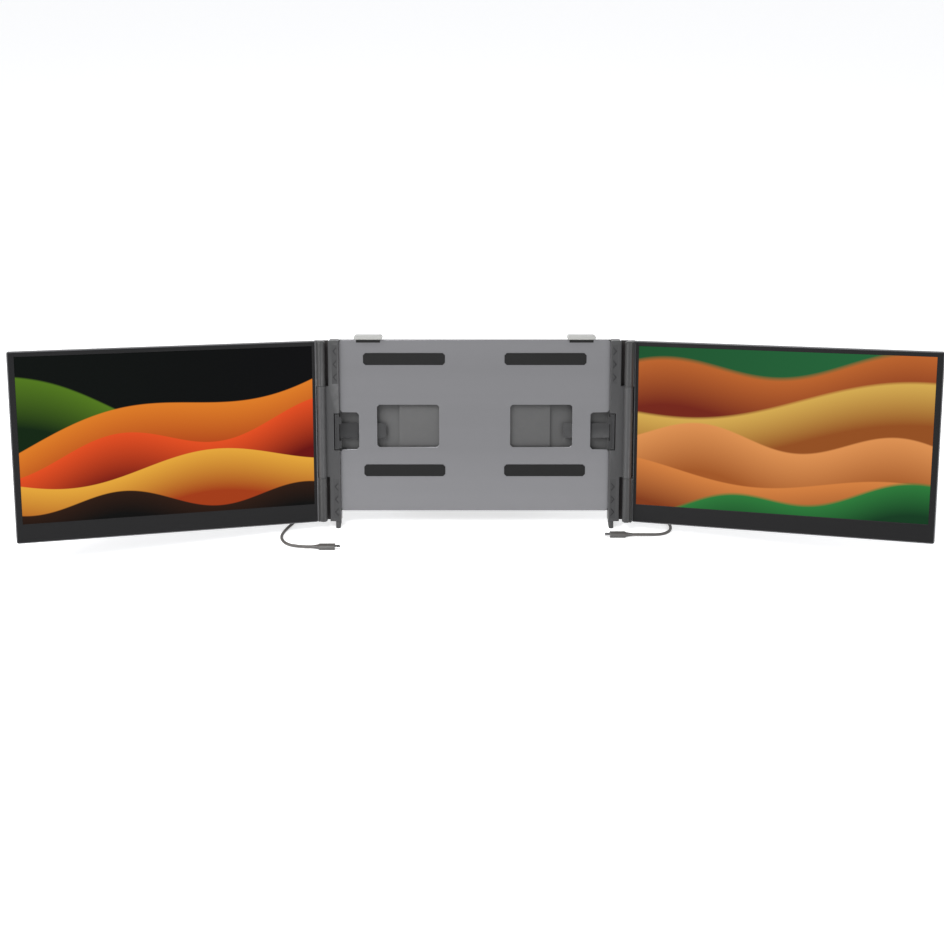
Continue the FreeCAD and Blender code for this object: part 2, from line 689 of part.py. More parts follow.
def side_clip(side):
    """Sliding clip: block in the column's bay, two fingers over the bezel, tongue behind the lid."""
    part = Body(side + "_clip")
    part.pad(part.rectangle("XZ_Plane", "column_front + 0.1", ("clip_in", "clip_out"),
                            ("clip_low", "clip_high")),
             "slide_front + slide_thick - column_front - 0.1", 1)
    for low in ("clip_low + 1.8", "clip_low + 34.4"):
        part.pad(part.rectangle("XZ_Plane", "column_front + 0.1", ("lip_in", "clip_in + 1"),
                                (low, "(%s) + 9.8" % low)), "lip_thick", 1)
    part.pad(part.rectangle("XZ_Plane", "slide_front", ("tongue_in", "clip_in + 1"),
                            ("clip_low + 14", "clip_high - 14")), "slide_thick", 1)
    part.pocket(part.rectangle("XZ_Plane", "column_front + 0.1", ("clip_in + 1.5", "clip_out - 1.2"),
                               ("clip_low + 2.5", "clip_high - 2.5")), "0.5", 1)
    front = value("column_front") + 0.1
    part.soften("Fillet", lambda edge: runs_along("y")(edge) and middle(edge).y < front + 1.5
                and middle(edge).x < value("clip_in") - 1, "1.2")
    keep(side + "_side_clip", part.body, side)
    pad = block(side + "_lining", ("clip_in - 0.6", "clip_in"), ("column_front + lip_thick + 0.4", "6.4"),
                ("clip_low + 1", "clip_high - 1"))
    keep(side + "_side_clip_pad", pad, side)


# The centre bracket

def front_plate():
    """Aluminium plate behind the lid, notched at both ends for the side clips."""
    part = Body("bracket_plate")
    part.pad(part.rectangle("XZ_Plane", "plate_front", ("-column_in", "column_in"),
                            ("plate_low", "column_high")), "plate_back - plate_front", 1)
    for sign in ("-", ""):
        inner = "%s(clip_in - clip_travel - 2)" % sign
        outer = "%s(column_in + 1)" % sign
        part.pocket(part.rectangle("XZ_Plane", "plate_front", (inner, outer), ("bay_low", "bay_high")),
                    "plate_back - plate_front", 1)
    for x in (-90, 90):
        part.pocket(part.rectangle("XZ_Plane", "plate_front", ("%d - 42" % x, "%d + 42" % x),
                                   ("92", "150")), "plate_back - plate_front", 1)
    part.soften("Chamfer", runs_along("y"), "3")
    keep("front_plate", part.body)


def lid_pads():
    """Four soft strips that the lid leans on."""
    pads = []
    for column, x in enumerate((-95, 95)):
        for line, z in enumerate((60, 212)):
            strip = block("pad_%d_%d" % (column, line), ("%d - 55" % x, "%d + 55" % x),
                          ("pad_front", "plate_front"), ("%d - 8" % z, "%d + 8" % z))
            pads.append(softened("pad_round_%d_%d" % (column, line), strip, runs_along("y"), "3",
                                 "Part::Chamfer"))
    keep("lid_pads", group("pads", pads))


def crossbars():
    """Two flat bars that join the columns through the housing."""
    bars = [block("bar_%d" % i, ("-190", "190"), ("13.5", "16.5"), bounds)
            for i, bounds in enumerate(bar_bounds())]
    keep("crossbars", group("bars", bars))


def rear_housing():
    """Moulded back shell: kickstand recess, hinge ears, slots for the clip arms."""
    part = Body("housing")
    part.pad(part.rectangle("XZ_Plane", "plate_back", ("-column_in", "column_in"),
                            ("plate_low", "column_high")), "column_back - plate_back", 1)
    back = value("column_back")
    low = value("plate_low")
    high = value("column_high")
    part.soften("Chamfer", lambda edge: abs(middle(edge).y - back) < 0.01
                and (abs(middle(edge).z - low) < 0.01 or abs(middle(edge).z - high) < 0.01), "4")
    part.pocket(part.rectangle("XZ_Plane", "plate_back",
                               ("-(column_in - housing_wall)", "column_in - housing_wall"),
                               ("plate_low + housing_wall", "column_high - housing_wall")),
                "column_back - plate_back - housing_wall", 1)
    part.pad(part.rectangle("XZ_Plane", "column_back", ("-(recess_half + 2)", "recess_half + 2"),
                            ("recess_low - 2", "recess_high + 9")),
             "column_back - recess_back + housing_wall", -1)
    part.pocket(part.rectangle("XZ_Plane", "column_back", ("-recess_half", "recess_half"),
                               ("recess_low", "recess_high")), "column_back - recess_back", -1)
    for sign in ("-", ""):
        part.pocket(part.rectangle("XZ_Plane", "plate_back", ("%s(column_in - 3)" % sign,
                                                              "%s(column_in + 1)" % sign),
                                   ("bay_low", "bay_high")), "2.6", 1)
        middle_x = "%shook_mid" % sign
        part.pocket(part.rectangle("XZ_Plane", "slide_front - 0.2",
                                   ("%s - arm_half - 0.3" % middle_x, "%s + arm_half + 0.3" % middle_x),
                                   ("column_high - 4", "column_high + 1")), "slide_thick + 0.4", 1)
        for low_edge, high_edge in bar_bounds():
            part.pocket(part.rectangle("XZ_Plane", "13.5", ("%s(column_in - 3)" % sign,
                                                            "%s(column_in + 1)" % sign),
                                       (low_edge, high_edge)), "3", 1)
    part.pocket(part.rectangle("XZ_Plane", "column_back", ("-22", "22"),
                               ("recess_high - 1", "recess_high + 7")),
                "column_back - recess_back - 0.4", -1)
    ears = []
    for sign in (-1, 1):
        start = "%d * (recess_half + 3) - 3" % sign
        ear = rod("ear_%d" % sign, "x", (start, "stand_axis_back", "stand_axis_high"), "4.2", "6")
        foot = block("ear_foot_%d" % sign, (start, start + " + 6"), ("recess_back + 1", "stand_axis_back"),
                     ("stand_axis_high - 4.2", "stand_axis_high + 4.2"))
        hole = rod("ear_hole_%d" % sign, "x", (start + " - 1", "stand_axis_back", "stand_axis_high"),
                   "stand_pin", "8")
        ears.append(cut("ear_cut_%d" % sign, joined("ear_whole_%d" % sign, [ear, foot]), [hole]))
    room = [rod("pin_room_%d" % sign, "x", ("%d * (recess_half + 3) - 3" % sign, "stand_axis_back",
                                            "stand_axis_high"), "stand_pin", "6") for sign in (-1, 1)]
    shell = cut("housing_drilled", part.body, room)
    keep("rear_housing", joined("housing_whole", [shell] + ears))


def kickstand():
    """Plate with a split barrel at its hinge, a finger window and rounded far corners."""
    part = Body("stand")
    part.pad(part.rectangle("XZ_Plane", "stand_axis_back", ("-stand_half", "stand_half"),
                            ("stand_axis_high", "stand_axis_high + stand_long")), "stand_thick", -1)
    far = value("stand_axis_high") + value("stand_long")
    part.soften("Fillet", lambda edge: runs_along("y")(edge) and abs(middle(edge).z - far) < 0.01, "14")
    part.pocket(part.rectangle("XZ_Plane", "stand_axis_back", ("-34", "34"),
                               ("stand_axis_high + 62", "stand_axis_high + 84")), "stand_thick", -1)
    part.soften("Fillet", lambda edge: runs_along("y")(edge) and abs(middle(edge).x) < 40, "9")
    barrel = rod("stand_barrel_bar", "x", ("-stand_half", "stand_axis_back", "stand_axis_high"),
                 "stand_barrel", "2 * stand_half")
    bore = rod("stand_bore", "x", ("-stand_half - 1", "stand_axis_back", "stand_axis_high"),
               "stand_pin + running_gap", "2 * stand_half + 2")
    whole = cut("stand_drilled", joined("stand_joined", [part.body, barrel]), [bore])
    seat = block("stand_seat", ("-(stand_half - 16)", "stand_half - 16"),
                 ("stand_axis_back - stand_thick", "stand_axis_back"),
                 ("stand_axis_high + stand_long - 4", "stand_axis_high + stand_long + 1"))
    keep("kickstand", cut("stand_finished", whole, [seat]))
    pad = rod("stand_pad_bar", "x", ("-(stand_half - 16)", "stand_axis_back - stand_thick / 2",
                                     "stand_axis_high + stand_long"), "stand_pad",
              "2 * (stand_half - 16)")
    web = block("stand_pad_web", ("-(stand_half - 16)", "stand_half - 16"),
                ("stand_axis_back - stand_thick", "stand_axis_back"),
                ("stand_axis_high + stand_long - 4", "stand_axis_high + stand_long"))
    keep("kickstand_pad", joined("stand_pad_whole", [pad, web]))


def kickstand_pin():
    """Steel rod through the ears and the barrel."""
    keep("kickstand_pin", rod("stand_rod", "x", ("-(recess_half + 6)", "stand_axis_back",
                                                 "stand_axis_high"), "stand_pin",
                              "2 * (recess_half + 6)"))


def top_clip(side):
    """Hook over the lid's top edge, with round ends, on a flat arm that slides in the housing."""
    part = Body(side + "_hook")
    part.pad(part.rectangle("XZ_Plane", "hook_front", ("hook_mid - hook_half", "hook_mid + hook_half"),
                            ("hook_low", "hook_high")), "slide_front + slide_thick - hook_front", 1)
    part.soften("Fillet", runs_along("y"), "3.05")
    front = value("hook_front")
    part.soften("Chamfer", lambda edge: abs(middle(edge).y - front) < 0.01, "0.7")
    part.pad(part.rectangle("XZ_Plane", "slide_front", ("hook_mid - arm_half", "hook_mid + arm_half"),
                            ("arm_low", "hook_low + 1")), "slide_thick", 1)
    keep(side + "_top_clip", part.body, side)
    lining = Body(side + "_hook_lining")
    lining.pad(lining.outline("YZ_Plane", "hook_mid - 16",
                              [("hook_front + 0.2", "lip_low"), ("hook_front + 1.5", "lip_low"),
                               ("hook_front + 1.5", "hook_low - 1.2"), ("6.5", "hook_low - 1.2"),
                               ("6.5", "hook_low"), ("hook_front + 0.2", "hook_low")]), "32", 1)
    keep(side + "_top_clip_pad", lining.body, side)


# The leads

LEFT_ROUTE = [(-195.0, 84.0, 18.0), (-209.0, 98.0, 8.5), (-228.0, 97.5, 2.0), (-242.0, 84.0, 2.0),
              (-246.5, 63.0, 2.0), (-243.0, 39.0, 2.0), (-246.0, 13.0, 2.0), (-256.5, -11.0, 2.0),
              (-262.0, -36.0, 2.0), (-252.0, -57.0, 2.0)]
LEFT_PLUG = (-207.0, -66.2, 3.3)
RIGHT_ROUTE = [(195.0, 84.0, 18.0), (209.5, 98.0, 8.5), (229.0, 98.5, 2.0), (245.0, 86.0, 2.0),
               (253.5, 65.0, 2.0), (256.0, 42.0, 2.0), (262.0, 20.0, 2.0), (268.0, 0.0, 2.0),
               (265.5, -17.0, 2.0), (253.0, -28.0, 2.0)]
RIGHT_PLUG = (203.5, -30.3, 3.3)
GRIP_LONG = 21.3
TAPER_LONG = 9.0
STRAIGHT_LONG = 15.0
LEAD_FLATS = 8
OVAL_FLATS = 7


def port_exit(side):
    """Where a lead leaves its port plug, and which way."""
    back = value("column_back") + value("cover_thick") + GRIP_LONG + TAPER_LONG
    sign = dict(SIDES)[side]
    place = leaned()
    spot = place.multVec(Vector(sign * value("port_mid"), back, value("lead_port")))
    return spot, place.Rotation.multVec(Vector(0, 1, 0))


def shifted(point):
    """A point on the desk, moved with the origin."""
    return Vector(point[0] + value("shift_right"), point[1] + value("shift_back"), point[2])


def tangent_path(points):
    """Straight runs joined by arcs, each as large as its two runs allow."""
    edges = []
    start = points[0]
    radii = []
    for i in range(1, len(points) - 1):
        before = (points[i - 1] - points[i])
        after = (points[i + 1] - points[i])
        short = min(before.Length, after.Length)
        before.normalize()
        after.normalize()
        turn = math.pi - before.getAngle(after)
        reach = 0.45 * short
        radii.append(reach / math.tan(turn / 2))
        first = points[i] + before * reach
        last = points[i] + after * reach
        bisector = before + after
        bisector.normalize()
        centre_way = radii[-1] / math.cos(turn / 2)
        top = points[i] + bisector * (centre_way - radii[-1])
        edges.append(Part.LineSegment(start, first).toShape())
        edges.append(Part.Arc(first, top, last).toShape())
        start = last
    edges.append(Part.LineSegment(start, points[-1]).toShape())
    return Part.Wire(edges), radii


def lead_points(side, route, plug):
    """Every point of a lead's route: out of the port plug, along the desk, into the laptop plug."""
    spot, way = port_exit(side)
    outward = Vector(dict(SIDES)[side], 0, 0)
    tail = shifted(plug) + outward * TAPER_LONG
    return ([spot, spot + way * STRAIGHT_LONG] + [shifted(point) for point in route]
            + [tail + outward * STRAIGHT_LONG, tail])


def lead(side, route, plug):
    """Round lead from its port plug down to the desk and round to the laptop's plug."""
    points = lead_points(side, route, plug)
    path, radii = tangent_path(points)
    radius = value("lead_radius")
    along = points[1] - points[0]
    turn = FreeCAD.Rotation(Vector(0, 0, 1), along)
    rim = [points[0] + turn.multVec(Vector(radius * math.cos(math.pi * i / LEAD_FLATS * 2),
                                           radius * math.sin(math.pi * i / LEAD_FLATS * 2), 0))
           for i in range(LEAD_FLATS)]
    section = Part.makePolygon(rim + rim[:1])
    tube = path.makePipeShell([section], True, False)
    share = tube.Volume / (Part.Face(section).Area * path.Length)
    print("%s lead: %.0f mm, radii %s, volume share %.4f" % (
        side, path.Length, " ".join("%.0f" % r for r in radii), share))
    print("  runs", " ".join("%.0f" % (b - a).Length for a, b in zip(points, points[1:])))
    solid = doc.addObject("Part::Feature", side + "_lead_tube")
    solid.Shape = tube
    solid.Label = side + "_lead"
    nodes[side + "_lead"] = (solid, "placed")


def plug_body(radius, half, long_grip, long_taper, end_radius):
    """Overmould along +X: an oval grip, then a taper down to the lead."""
    grip = Part.Face(oval_wire(radius, half, 0)).extrude(Vector(long_grip, 0, 0))
    wide = oval_wire(radius, half, long_grip)
    slim = oval_wire(end_radius, half * end_radius / radius, long_grip + long_taper)
    return grip.fuse(Part.makeLoft([wide, slim], True, True)).removeSplitter()


def oval_wire(radius, half, along):
    """An oval outline across X, each round end drawn with flats."""
    rim = []
    for way in (1, -1):
        for step in range(OVAL_FLATS + 1):
            angle = math.pi * (step / OVAL_FLATS - 0.5) + (0 if way > 0 else math.pi)
            rim.append(Vector(along, way * half + radius * math.cos(angle), radius * math.sin(angle)))
    return Part.makePolygon(rim + rim[:1])


def plugs(side, plug):
    """The two overmoulds of a lead, and the metal mouths that stand out of them."""
    sign = dict(SIDES)[side]
    body = plug_body(3.2, 2.9, GRIP_LONG, TAPER_LONG, value("lead_radius"))
    tip = plug_tip()
    desk_way = FreeCAD.Rotation(Vector(0, 0, 1), 0 if sign > 0 else 180)
    desk = FreeCAD.Placement(shifted(plug) - desk_way.multVec(Vector(GRIP_LONG, 0, 0)), desk_way)
    upright = FreeCAD.Rotation(Vector(0, 0, 1), 90).multiply(FreeCAD.Rotation(Vector(1, 0, 0), 90))
    back = value("column_back") + value("cover_thick")
    port = leaned().multiply(FreeCAD.Placement(
        Vector(sign * value("port_mid"), back, value("lead_port")), upright))
    for name, shape, place in ((side + "_laptop_plug", body, desk), (side + "_port_plug", body, port)):
        piece = doc.addObject("Part::Feature", name + "_moulded")
        piece.Shape = shape
        piece.Label = name
        piece.Placement = place
        nodes[name] = (piece, "placed")
    tips = []
    for place in (desk, port):
        shape = tip.copy()
        shape.Placement = place
        tips.append(shape)
    both = doc.addObject("Part::Feature", side + "_plug_tips")
    both.Shape = Part.makeCompound(tips)
    both.Label = side + "_plug_shells"
    nodes[side + "_plug_shells"] = (both, "placed")


def plug_tip():
    """Metal mouth of a plug: an oval tube, open at its tip and closed at the overmould."""
    outer = Part.Face(oval_wire(1.2, 2.95, -6.6)).extrude(Vector(6.6, 0, 0))
    inner = Part.Face(oval_wire(0.85, 2.95, -6.6)).extrude(Vector(6.0, 0, 0))
    return outer.cut(inner)


# Assembly

for side, sign in SIDES:
    rear_cover(side)
    front_frame(side)
    display_stack(side)
    driver_board(side)
    knuckles(side)
    hinge_pins(side)
    column_shell(side)
    grip_panels(side)
    column_cover(side)
    hinge_guard(side)
    port_board(side)
    usb_sockets(side)
    buttons(side)
    rubber_foot(side)
    side_clip(side)
    top_clip(side)
front_plate()
lid_pads()
crossbars()
rear_housing()
kickstand()
kickstand_pin()
doc.recompute()
lead("left", LEFT_ROUTE, LEFT_PLUG)
lead("right", RIGHT_ROUTE, RIGHT_PLUG)
plugs("left", LEFT_PLUG)
plugs("right", RIGHT_PLUG)


def stand_angle():
    """How far the kickstand opens from flat in its recess until its pad meets the desk."""
    axis = leaned().multVec(Vector(0, value("stand_axis_back"), value("stand_axis_high")))
    arm = math.hypot(value("stand_long"), value("stand_thick") / 2)
    bias = math.degrees(math.atan2(value("stand_thick") / 2, value("stand_long")))
    from_down = math.degrees(math.acos((axis.z - value("stand_pad")) / arm))
    return 180 - (from_down + value("lean")) + bias


def stand_open():
    """The kickstand's opening about its pin, in bracket coordinates."""
    axis = Vector(0, value("stand_axis_back"), value("stand_axis_high"))
    turn = FreeCAD.Rotation(Vector(1, 0, 0), -stand_angle())
    return FreeCAD.Placement(axis - turn.multVec(axis), turn)


doc.recompute()
for name, (solid, way) in nodes.items():
    if way == "placed":
        continue
    place = leaned()
    if way in ("left", "right"):
        place = place.multiply(swung(way))
    if name in ("kickstand", "kickstand_pad"):
        place = place.multiply(stand_open())
    solid.Placement = place
doc.recompute()

for item in doc.Objects:
    if {"Invalid", "Error"} & set(item.State):
        raise RuntimeError("%s failed: %s" % (item.Name, item.State))
for name, (solid, way) in nodes.items():
    if solid.Shape.isNull() or not solid.Shape.isValid() or not solid.Shape.Solids:
        raise RuntimeError(name + " has no valid shape")

whole = FreeCAD.BoundBox()
for name, (solid, way) in nodes.items():
    if way != "placed":
        whole.add(solid.Shape.BoundBox)
print("box without leads", whole)
print("kickstand opens %.2f degrees" % stand_angle())

os.makedirs("parts", exist_ok=True)
for name, (solid, way) in nodes.items():
    solid.Shape.exportStep("parts/%s.step" % name)
print(len(nodes), "nodes")
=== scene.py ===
"""Looks of a laptop screen extender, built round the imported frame."""

import json
import math

import bmesh
import bpy
from bpy.props import FloatProperty, FloatVectorProperty, PointerProperty
from mathutils import Matrix, Vector


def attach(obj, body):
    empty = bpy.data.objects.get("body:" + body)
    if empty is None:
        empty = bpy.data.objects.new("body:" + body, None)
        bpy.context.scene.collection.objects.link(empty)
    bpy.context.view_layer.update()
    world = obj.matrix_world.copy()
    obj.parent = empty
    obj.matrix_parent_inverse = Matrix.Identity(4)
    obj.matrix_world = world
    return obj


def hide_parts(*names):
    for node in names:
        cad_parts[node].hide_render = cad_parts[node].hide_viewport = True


bl_info = {
    "name": "Screen Extender Looks",
    "version": (1, 0, 0),
    "blender": (4, 5, 0),
    "location": "View3D > Sidebar > Screen Extender",
    "description": "Finishes a laptop screen extender: screens, hinges, bracket, clips and leads",
    "category": "Object",
}

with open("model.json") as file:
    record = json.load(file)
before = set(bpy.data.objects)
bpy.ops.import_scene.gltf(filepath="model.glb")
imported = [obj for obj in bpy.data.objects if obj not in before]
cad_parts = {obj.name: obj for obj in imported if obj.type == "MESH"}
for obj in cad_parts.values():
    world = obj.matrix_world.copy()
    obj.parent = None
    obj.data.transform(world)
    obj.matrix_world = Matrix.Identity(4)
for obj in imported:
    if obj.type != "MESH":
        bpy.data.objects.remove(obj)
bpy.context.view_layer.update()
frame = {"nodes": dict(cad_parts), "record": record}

# Places shared with the solids, in metres and degrees

LEAN = math.radians(13.62)
SWING = math.radians(19.17)
SHIFT = Vector((-0.00079, 0.00254, 0.0))
REFERENCE_HEIGHT = 0.01842
AXIS_OUT = 0.2058
AXIS_DEPTH = {"left": -0.003, "right": -0.008}
SIGN = {"left": -1, "right": 1}
BACK = Vector((0, math.cos(LEAN), -math.sin(LEAN)))

DISPLAY_LOW = Vector((0.2156, -0.0020, 0.0139))
DISPLAY_HIGH = Vector((0.6016, -0.0004, 0.2329))

# Vent slots drawn as thin dark slabs: painted shade in their openings
VENT_CORNER = Vector((0.33, 0.0058, 0.016))
VENT_SIZE = Vector((0.005, 0.00024, 0.0016))
VENT_STEP = (0.0075, 0.009)

# Zigzag lines of painted shade in the grooves of the grip panels
PANEL_LOWS = (-0.005, 0.1795)
ZIGZAG_FIRST = 0.0035
ZIGZAG_PITCH = 0.0175
ZIGZAG_DEPTH = -0.00225
ZIGZAG_OUTLINE = ((0.185, 0), (0.190, 0.0055), (0.185, 0.011), (0.185, 0.0098), (0.1889, 0.0055),
                  (0.185, 0.0012))
# Painted shade: a dark lip behind the slit beside each column's barrel
SHADE_LIP_LOW = (0.2140, 0.0082, -0.008)
SHADE_LIP_HIGH = (0.2175, 0.0091, 0.2365)

PORT_SPOT = Vector((0.1892, 0.0206, 0.026))
COVER_SCREW_HEIGHTS = (0.004, 0.076, 0.152, 0.226)
HOUSING_BACK = 0.019
HOUSING_SCREWS = [(x, z) for x in (-0.15, -0.05, 0.05, 0.15) for z in (0.016, 0.226)]

CAMERA_SPOT = Vector((-0.00366, -1.92725, 0.960))
CAMERA_PITCH = 24.49

LEANED = Matrix.Translation(SHIFT + Vector((0, 0, REFERENCE_HEIGHT))) @ Matrix.Rotation(-LEAN, 4, "X")


def swung(side):
    """The screen's swing about its hinge axis, then the bracket's lean."""
    axis = Vector((SIGN[side] * AXIS_OUT, AXIS_DEPTH[side], 0))
    turn = Matrix.Rotation(-SIGN[side] * SWING, 4, "Z")
    return LEANED @ Matrix.Translation(axis) @ turn @ Matrix.Translation(-axis)


# Values that a user would change

class ExtenderSizes(bpy.types.PropertyGroup):
    rim_bevel: FloatProperty(name="Rim bevel", description="Soft edge on the screens' metal rim",
                             default=0.0006, unit="LENGTH")
    key_light: FloatProperty(name="Key light", description="Power of the main softbox in watts",
                             default=44.0)
    fill_light: FloatProperty(name="Fill light", description="Power of the side softboxes in watts",
                              default=12.0)
    strip_light: FloatProperty(name="Strip light", description="Power of the two narrow lights",
                               default=3.0)
    lead_width: FloatProperty(name="Lead width", description="Diameter of the leads",
                              default=0.004, unit="LENGTH")
    screw_width: FloatProperty(name="Screw width", description="Diameter of the screw heads",
                               default=0.0046, unit="LENGTH")


class ExtenderColours(bpy.types.PropertyGroup):
    column: FloatVectorProperty(name="Columns", description="Painted hinge columns",
                                subtype="COLOR", size=3, default=(0.052, 0.052, 0.053))
    knuckle: FloatVectorProperty(name="Knuckles", description="Screen side of the hinges",
                                 subtype="COLOR", size=3, default=(0.040, 0.040, 0.040))
    casing: FloatVectorProperty(name="Casing", description="Anodised backs and rims of the screens",
                                subtype="COLOR", size=3, default=(0.125, 0.125, 0.13))
    bezel: FloatVectorProperty(name="Bezel", description="Black frame round each display",
                               subtype="COLOR", size=3, default=(0.0085, 0.0085, 0.009))
    hook: FloatVectorProperty(name="Top clips", description="Silver hooks over the lid",
                              subtype="COLOR", size=3, default=(0.40, 0.40, 0.385))
    lead: FloatVectorProperty(name="Leads", description="Jacket of the leads",
                              subtype="COLOR", size=3, default=(0.075, 0.07, 0.065))
    floor: FloatVectorProperty(name="Floor", description="Plain floor and backdrop",
                               subtype="COLOR", size=3, default=(0.80, 0.80, 0.80))


# Shader node groups

def socket(group, name, way, kind, default=None):
    item = group.interface.new_socket(name=name, in_out=way, socket_type="NodeSocket" + kind)
    if default is not None:
        item.default_value = default
    return item


def grain_group():
    """Fine grain: a shade mask, a roughness and a bumped normal from noise at a given scale."""
    found = bpy.data.node_groups.get("fine grain")
    if found:
        return found
    group = bpy.data.node_groups.new("fine grain", "ShaderNodeTree")
    socket(group, "Vector", "INPUT", "Vector")
    socket(group, "Scale", "INPUT", "Float", 900.0)
    socket(group, "Roughness", "INPUT", "Float", 0.45)
    socket(group, "Spread", "INPUT", "Float", 0.08)
    socket(group, "Relief", "INPUT", "Float", 0.15)
    socket(group, "Mask", "OUTPUT", "Float")
    socket(group, "Roughness", "OUTPUT", "Float")
    socket(group, "Normal", "OUTPUT", "Vector")
    nodes, links = group.nodes, group.links
    entry = nodes.new("NodeGroupInput")
    leave = nodes.new("NodeGroupOutput")
    fine = nodes.new("ShaderNodeTexNoise")
    fine.inputs["Detail"].default_value = 3.0
    links.new(entry.outputs["Vector"], fine.inputs["Vector"])
    links.new(entry.outputs["Scale"], fine.inputs["Scale"])
    broad = nodes.new("ShaderNodeTexNoise")
    broad.inputs["Scale"].default_value = 14.0
    broad.inputs["Detail"].default_value = 4.0
    links.new(entry.outputs["Vector"], broad.inputs["Vector"])
    centred = nodes.new("ShaderNodeMath")
    centred.operation = "SUBTRACT"
    centred.inputs[1].default_value = 0.5
    links.new(broad.outputs["Fac"], centred.inputs[0])
    spread = nodes.new("ShaderNodeMath")
    spread.operation = "MULTIPLY_ADD"
    links.new(centred.outputs[0], spread.inputs[0])
    links.new(entry.outputs["Spread"], spread.inputs[1])
    links.new(entry.outputs["Roughness"], spread.inputs[2])
    bump = nodes.new("ShaderNodeBump")
    bump.inputs["Distance"].default_value = 0.0001
    links.new(entry.outputs["Relief"], bump.inputs["Strength"])
    links.new(fine.outputs["Fac"], bump.inputs["Height"])
    links.new(broad.outputs["Fac"], leave.inputs["Mask"])
    links.new(spread.outputs[0], leave.inputs["Roughness"])
    links.new(bump.outputs["Normal"], leave.inputs["Normal"])
    return group


def wear_group():
    """Edge wear and dust: lightens edges that stick out and the tops of broad noise."""
    found = bpy.data.node_groups.get("edge wear")
    if found:
        return found
    group = bpy.data.node_groups.new("edge wear", "ShaderNodeTree")
    socket(group, "Vector", "INPUT", "Vector")
    socket(group, "Base", "INPUT", "Color")
    socket(group, "Worn", "INPUT", "Color")
    socket(group, "Amount", "INPUT", "Float", 0.5)
    socket(group, "Colour", "OUTPUT", "Color")
    nodes, links = group.nodes, group.links
    entry = nodes.new("NodeGroupInput")
    leave = nodes.new("NodeGroupOutput")
    shape = nodes.new("ShaderNodeNewGeometry")
    edges = nodes.new("ShaderNodeValToRGB")
    edges.color_ramp.elements[0].position = 0.53
    edges.color_ramp.elements[1].position = 0.62
    links.new(shape.outputs["Pointiness"], edges.inputs["Fac"])
    noise = nodes.new("ShaderNodeTexNoise")
    noise.inputs["Scale"].default_value = 120.0
    noise.inputs["Detail"].default_value = 5.0
    links.new(entry.outputs["Vector"], noise.inputs["Vector"])
    patch = nodes.new("ShaderNodeMath")
    patch.operation = "MULTIPLY"
    links.new(edges.outputs["Color"], patch.inputs[0])
    links.new(noise.outputs["Fac"], patch.inputs[1])
    share = nodes.new("ShaderNodeMath")
    share.operation = "MULTIPLY"
    links.new(patch.outputs[0], share.inputs[0])
    links.new(entry.outputs["Amount"], share.inputs[1])
    mix = nodes.new("ShaderNodeMix")
    mix.data_type = "RGBA"
    links.new(share.outputs[0], mix.inputs["Factor"])
    links.new(entry.outputs["Base"], mix.inputs["A"])
    links.new(entry.outputs["Worn"], mix.inputs["B"])
    links.new(mix.outputs["Result"], leave.inputs["Colour"])
    return group


# Materials

def blank(name):
    """A new material's node tree, its shader and its object coordinates."""
    material = bpy.data.materials.new(name)
    material.use_nodes = True
    nodes = material.node_tree.nodes
    shader = nodes["Principled BSDF"]
    place = nodes.new("ShaderNodeTexCoord")
    return material, nodes, material.node_tree.links, shader, place.outputs["Object"]


def coated(name, colour, roughness=0.45, metallic=0.0, scale=1100.0, relief=0.12, spread=0.08,
           shade=0.06, wear=0.0, worn=(0.4, 0.4, 0.4), specular=0.5):
    """A moulded or painted surface: fine grain, broad shade and worn edges."""
    found = bpy.data.materials.get(name)
    if found:
        return found
    material, nodes, links, shader, place = blank(name)
    grain = nodes.new("ShaderNodeGroup")
    grain.node_tree = grain_group()
    grain.inputs["Scale"].default_value = scale
    grain.inputs["Roughness"].default_value = roughness
    grain.inputs["Spread"].default_value = spread
    grain.inputs["Relief"].default_value = relief
    links.new(place, grain.inputs["Vector"])
    tint = nodes.new("ShaderNodeMix")
    tint.data_type = "RGBA"
    tint.inputs["A"].default_value = [c * (1 - shade) for c in colour] + [1]
    tint.inputs["B"].default_value = [min(1, c * (1 + shade)) for c in colour] + [1]
    links.new(grain.outputs["Mask"], tint.inputs["Factor"])
    edge = nodes.new("ShaderNodeGroup")
    edge.node_tree = wear_group()
    edge.inputs["Worn"].default_value = list(worn) + [1]
    edge.inputs["Amount"].default_value = wear
    links.new(place, edge.inputs["Vector"])
    links.new(tint.outputs["Result"], edge.inputs["Base"])
    links.new(edge.outputs["Colour"], shader.inputs["Base Color"])
    links.new(grain.outputs["Roughness"], shader.inputs["Roughness"])
    links.new(grain.outputs["Normal"], shader.inputs["Normal"])
    shader.inputs["Metallic"].default_value = metallic
    shader.inputs["Specular IOR Level"].default_value = specular
    return material


def brushed(name, colour, stretch=(1, 1, 60), roughness=0.32, scale=400.0):
    """Brushed metal: noise stretched along the brushing drives shade, roughness and relief."""
    found = bpy.data.materials.get(name)
    if found:
        return found
    material, nodes, links, shader, place = blank(name)
    along = nodes.new("ShaderNodeMapping")
    along.inputs["Scale"].default_value = [1 / s for s in stretch]
    links.new(place, along.inputs["Vector"])
    grain = nodes.new("ShaderNodeGroup")
    grain.node_tree = grain_group()
    grain.inputs["Scale"].default_value = scale
    grain.inputs["Roughness"].default_value = roughness
    grain.inputs["Spread"].default_value = 0.12
    grain.inputs["Relief"].default_value = 0.1
    links.new(along.outputs["Vector"], grain.inputs["Vector"])
    tint = nodes.new("ShaderNodeMix")
    tint.data_type = "RGBA"
    tint.inputs["A"].default_value = [c * 0.9 for c in colour] + [1]
    tint.inputs["B"].default_value = [min(1, c * 1.08) for c in colour] + [1]
    links.new(grain.outputs["Mask"], tint.inputs["Factor"])
    links.new(tint.outputs["Result"], shader.inputs["Base Color"])
    links.new(grain.outputs["Roughness"], shader.inputs["Roughness"])
    links.new(grain.outputs["Normal"], shader.inputs["Normal"])
    shader.inputs["Metallic"].default_value = 1.0
    return material


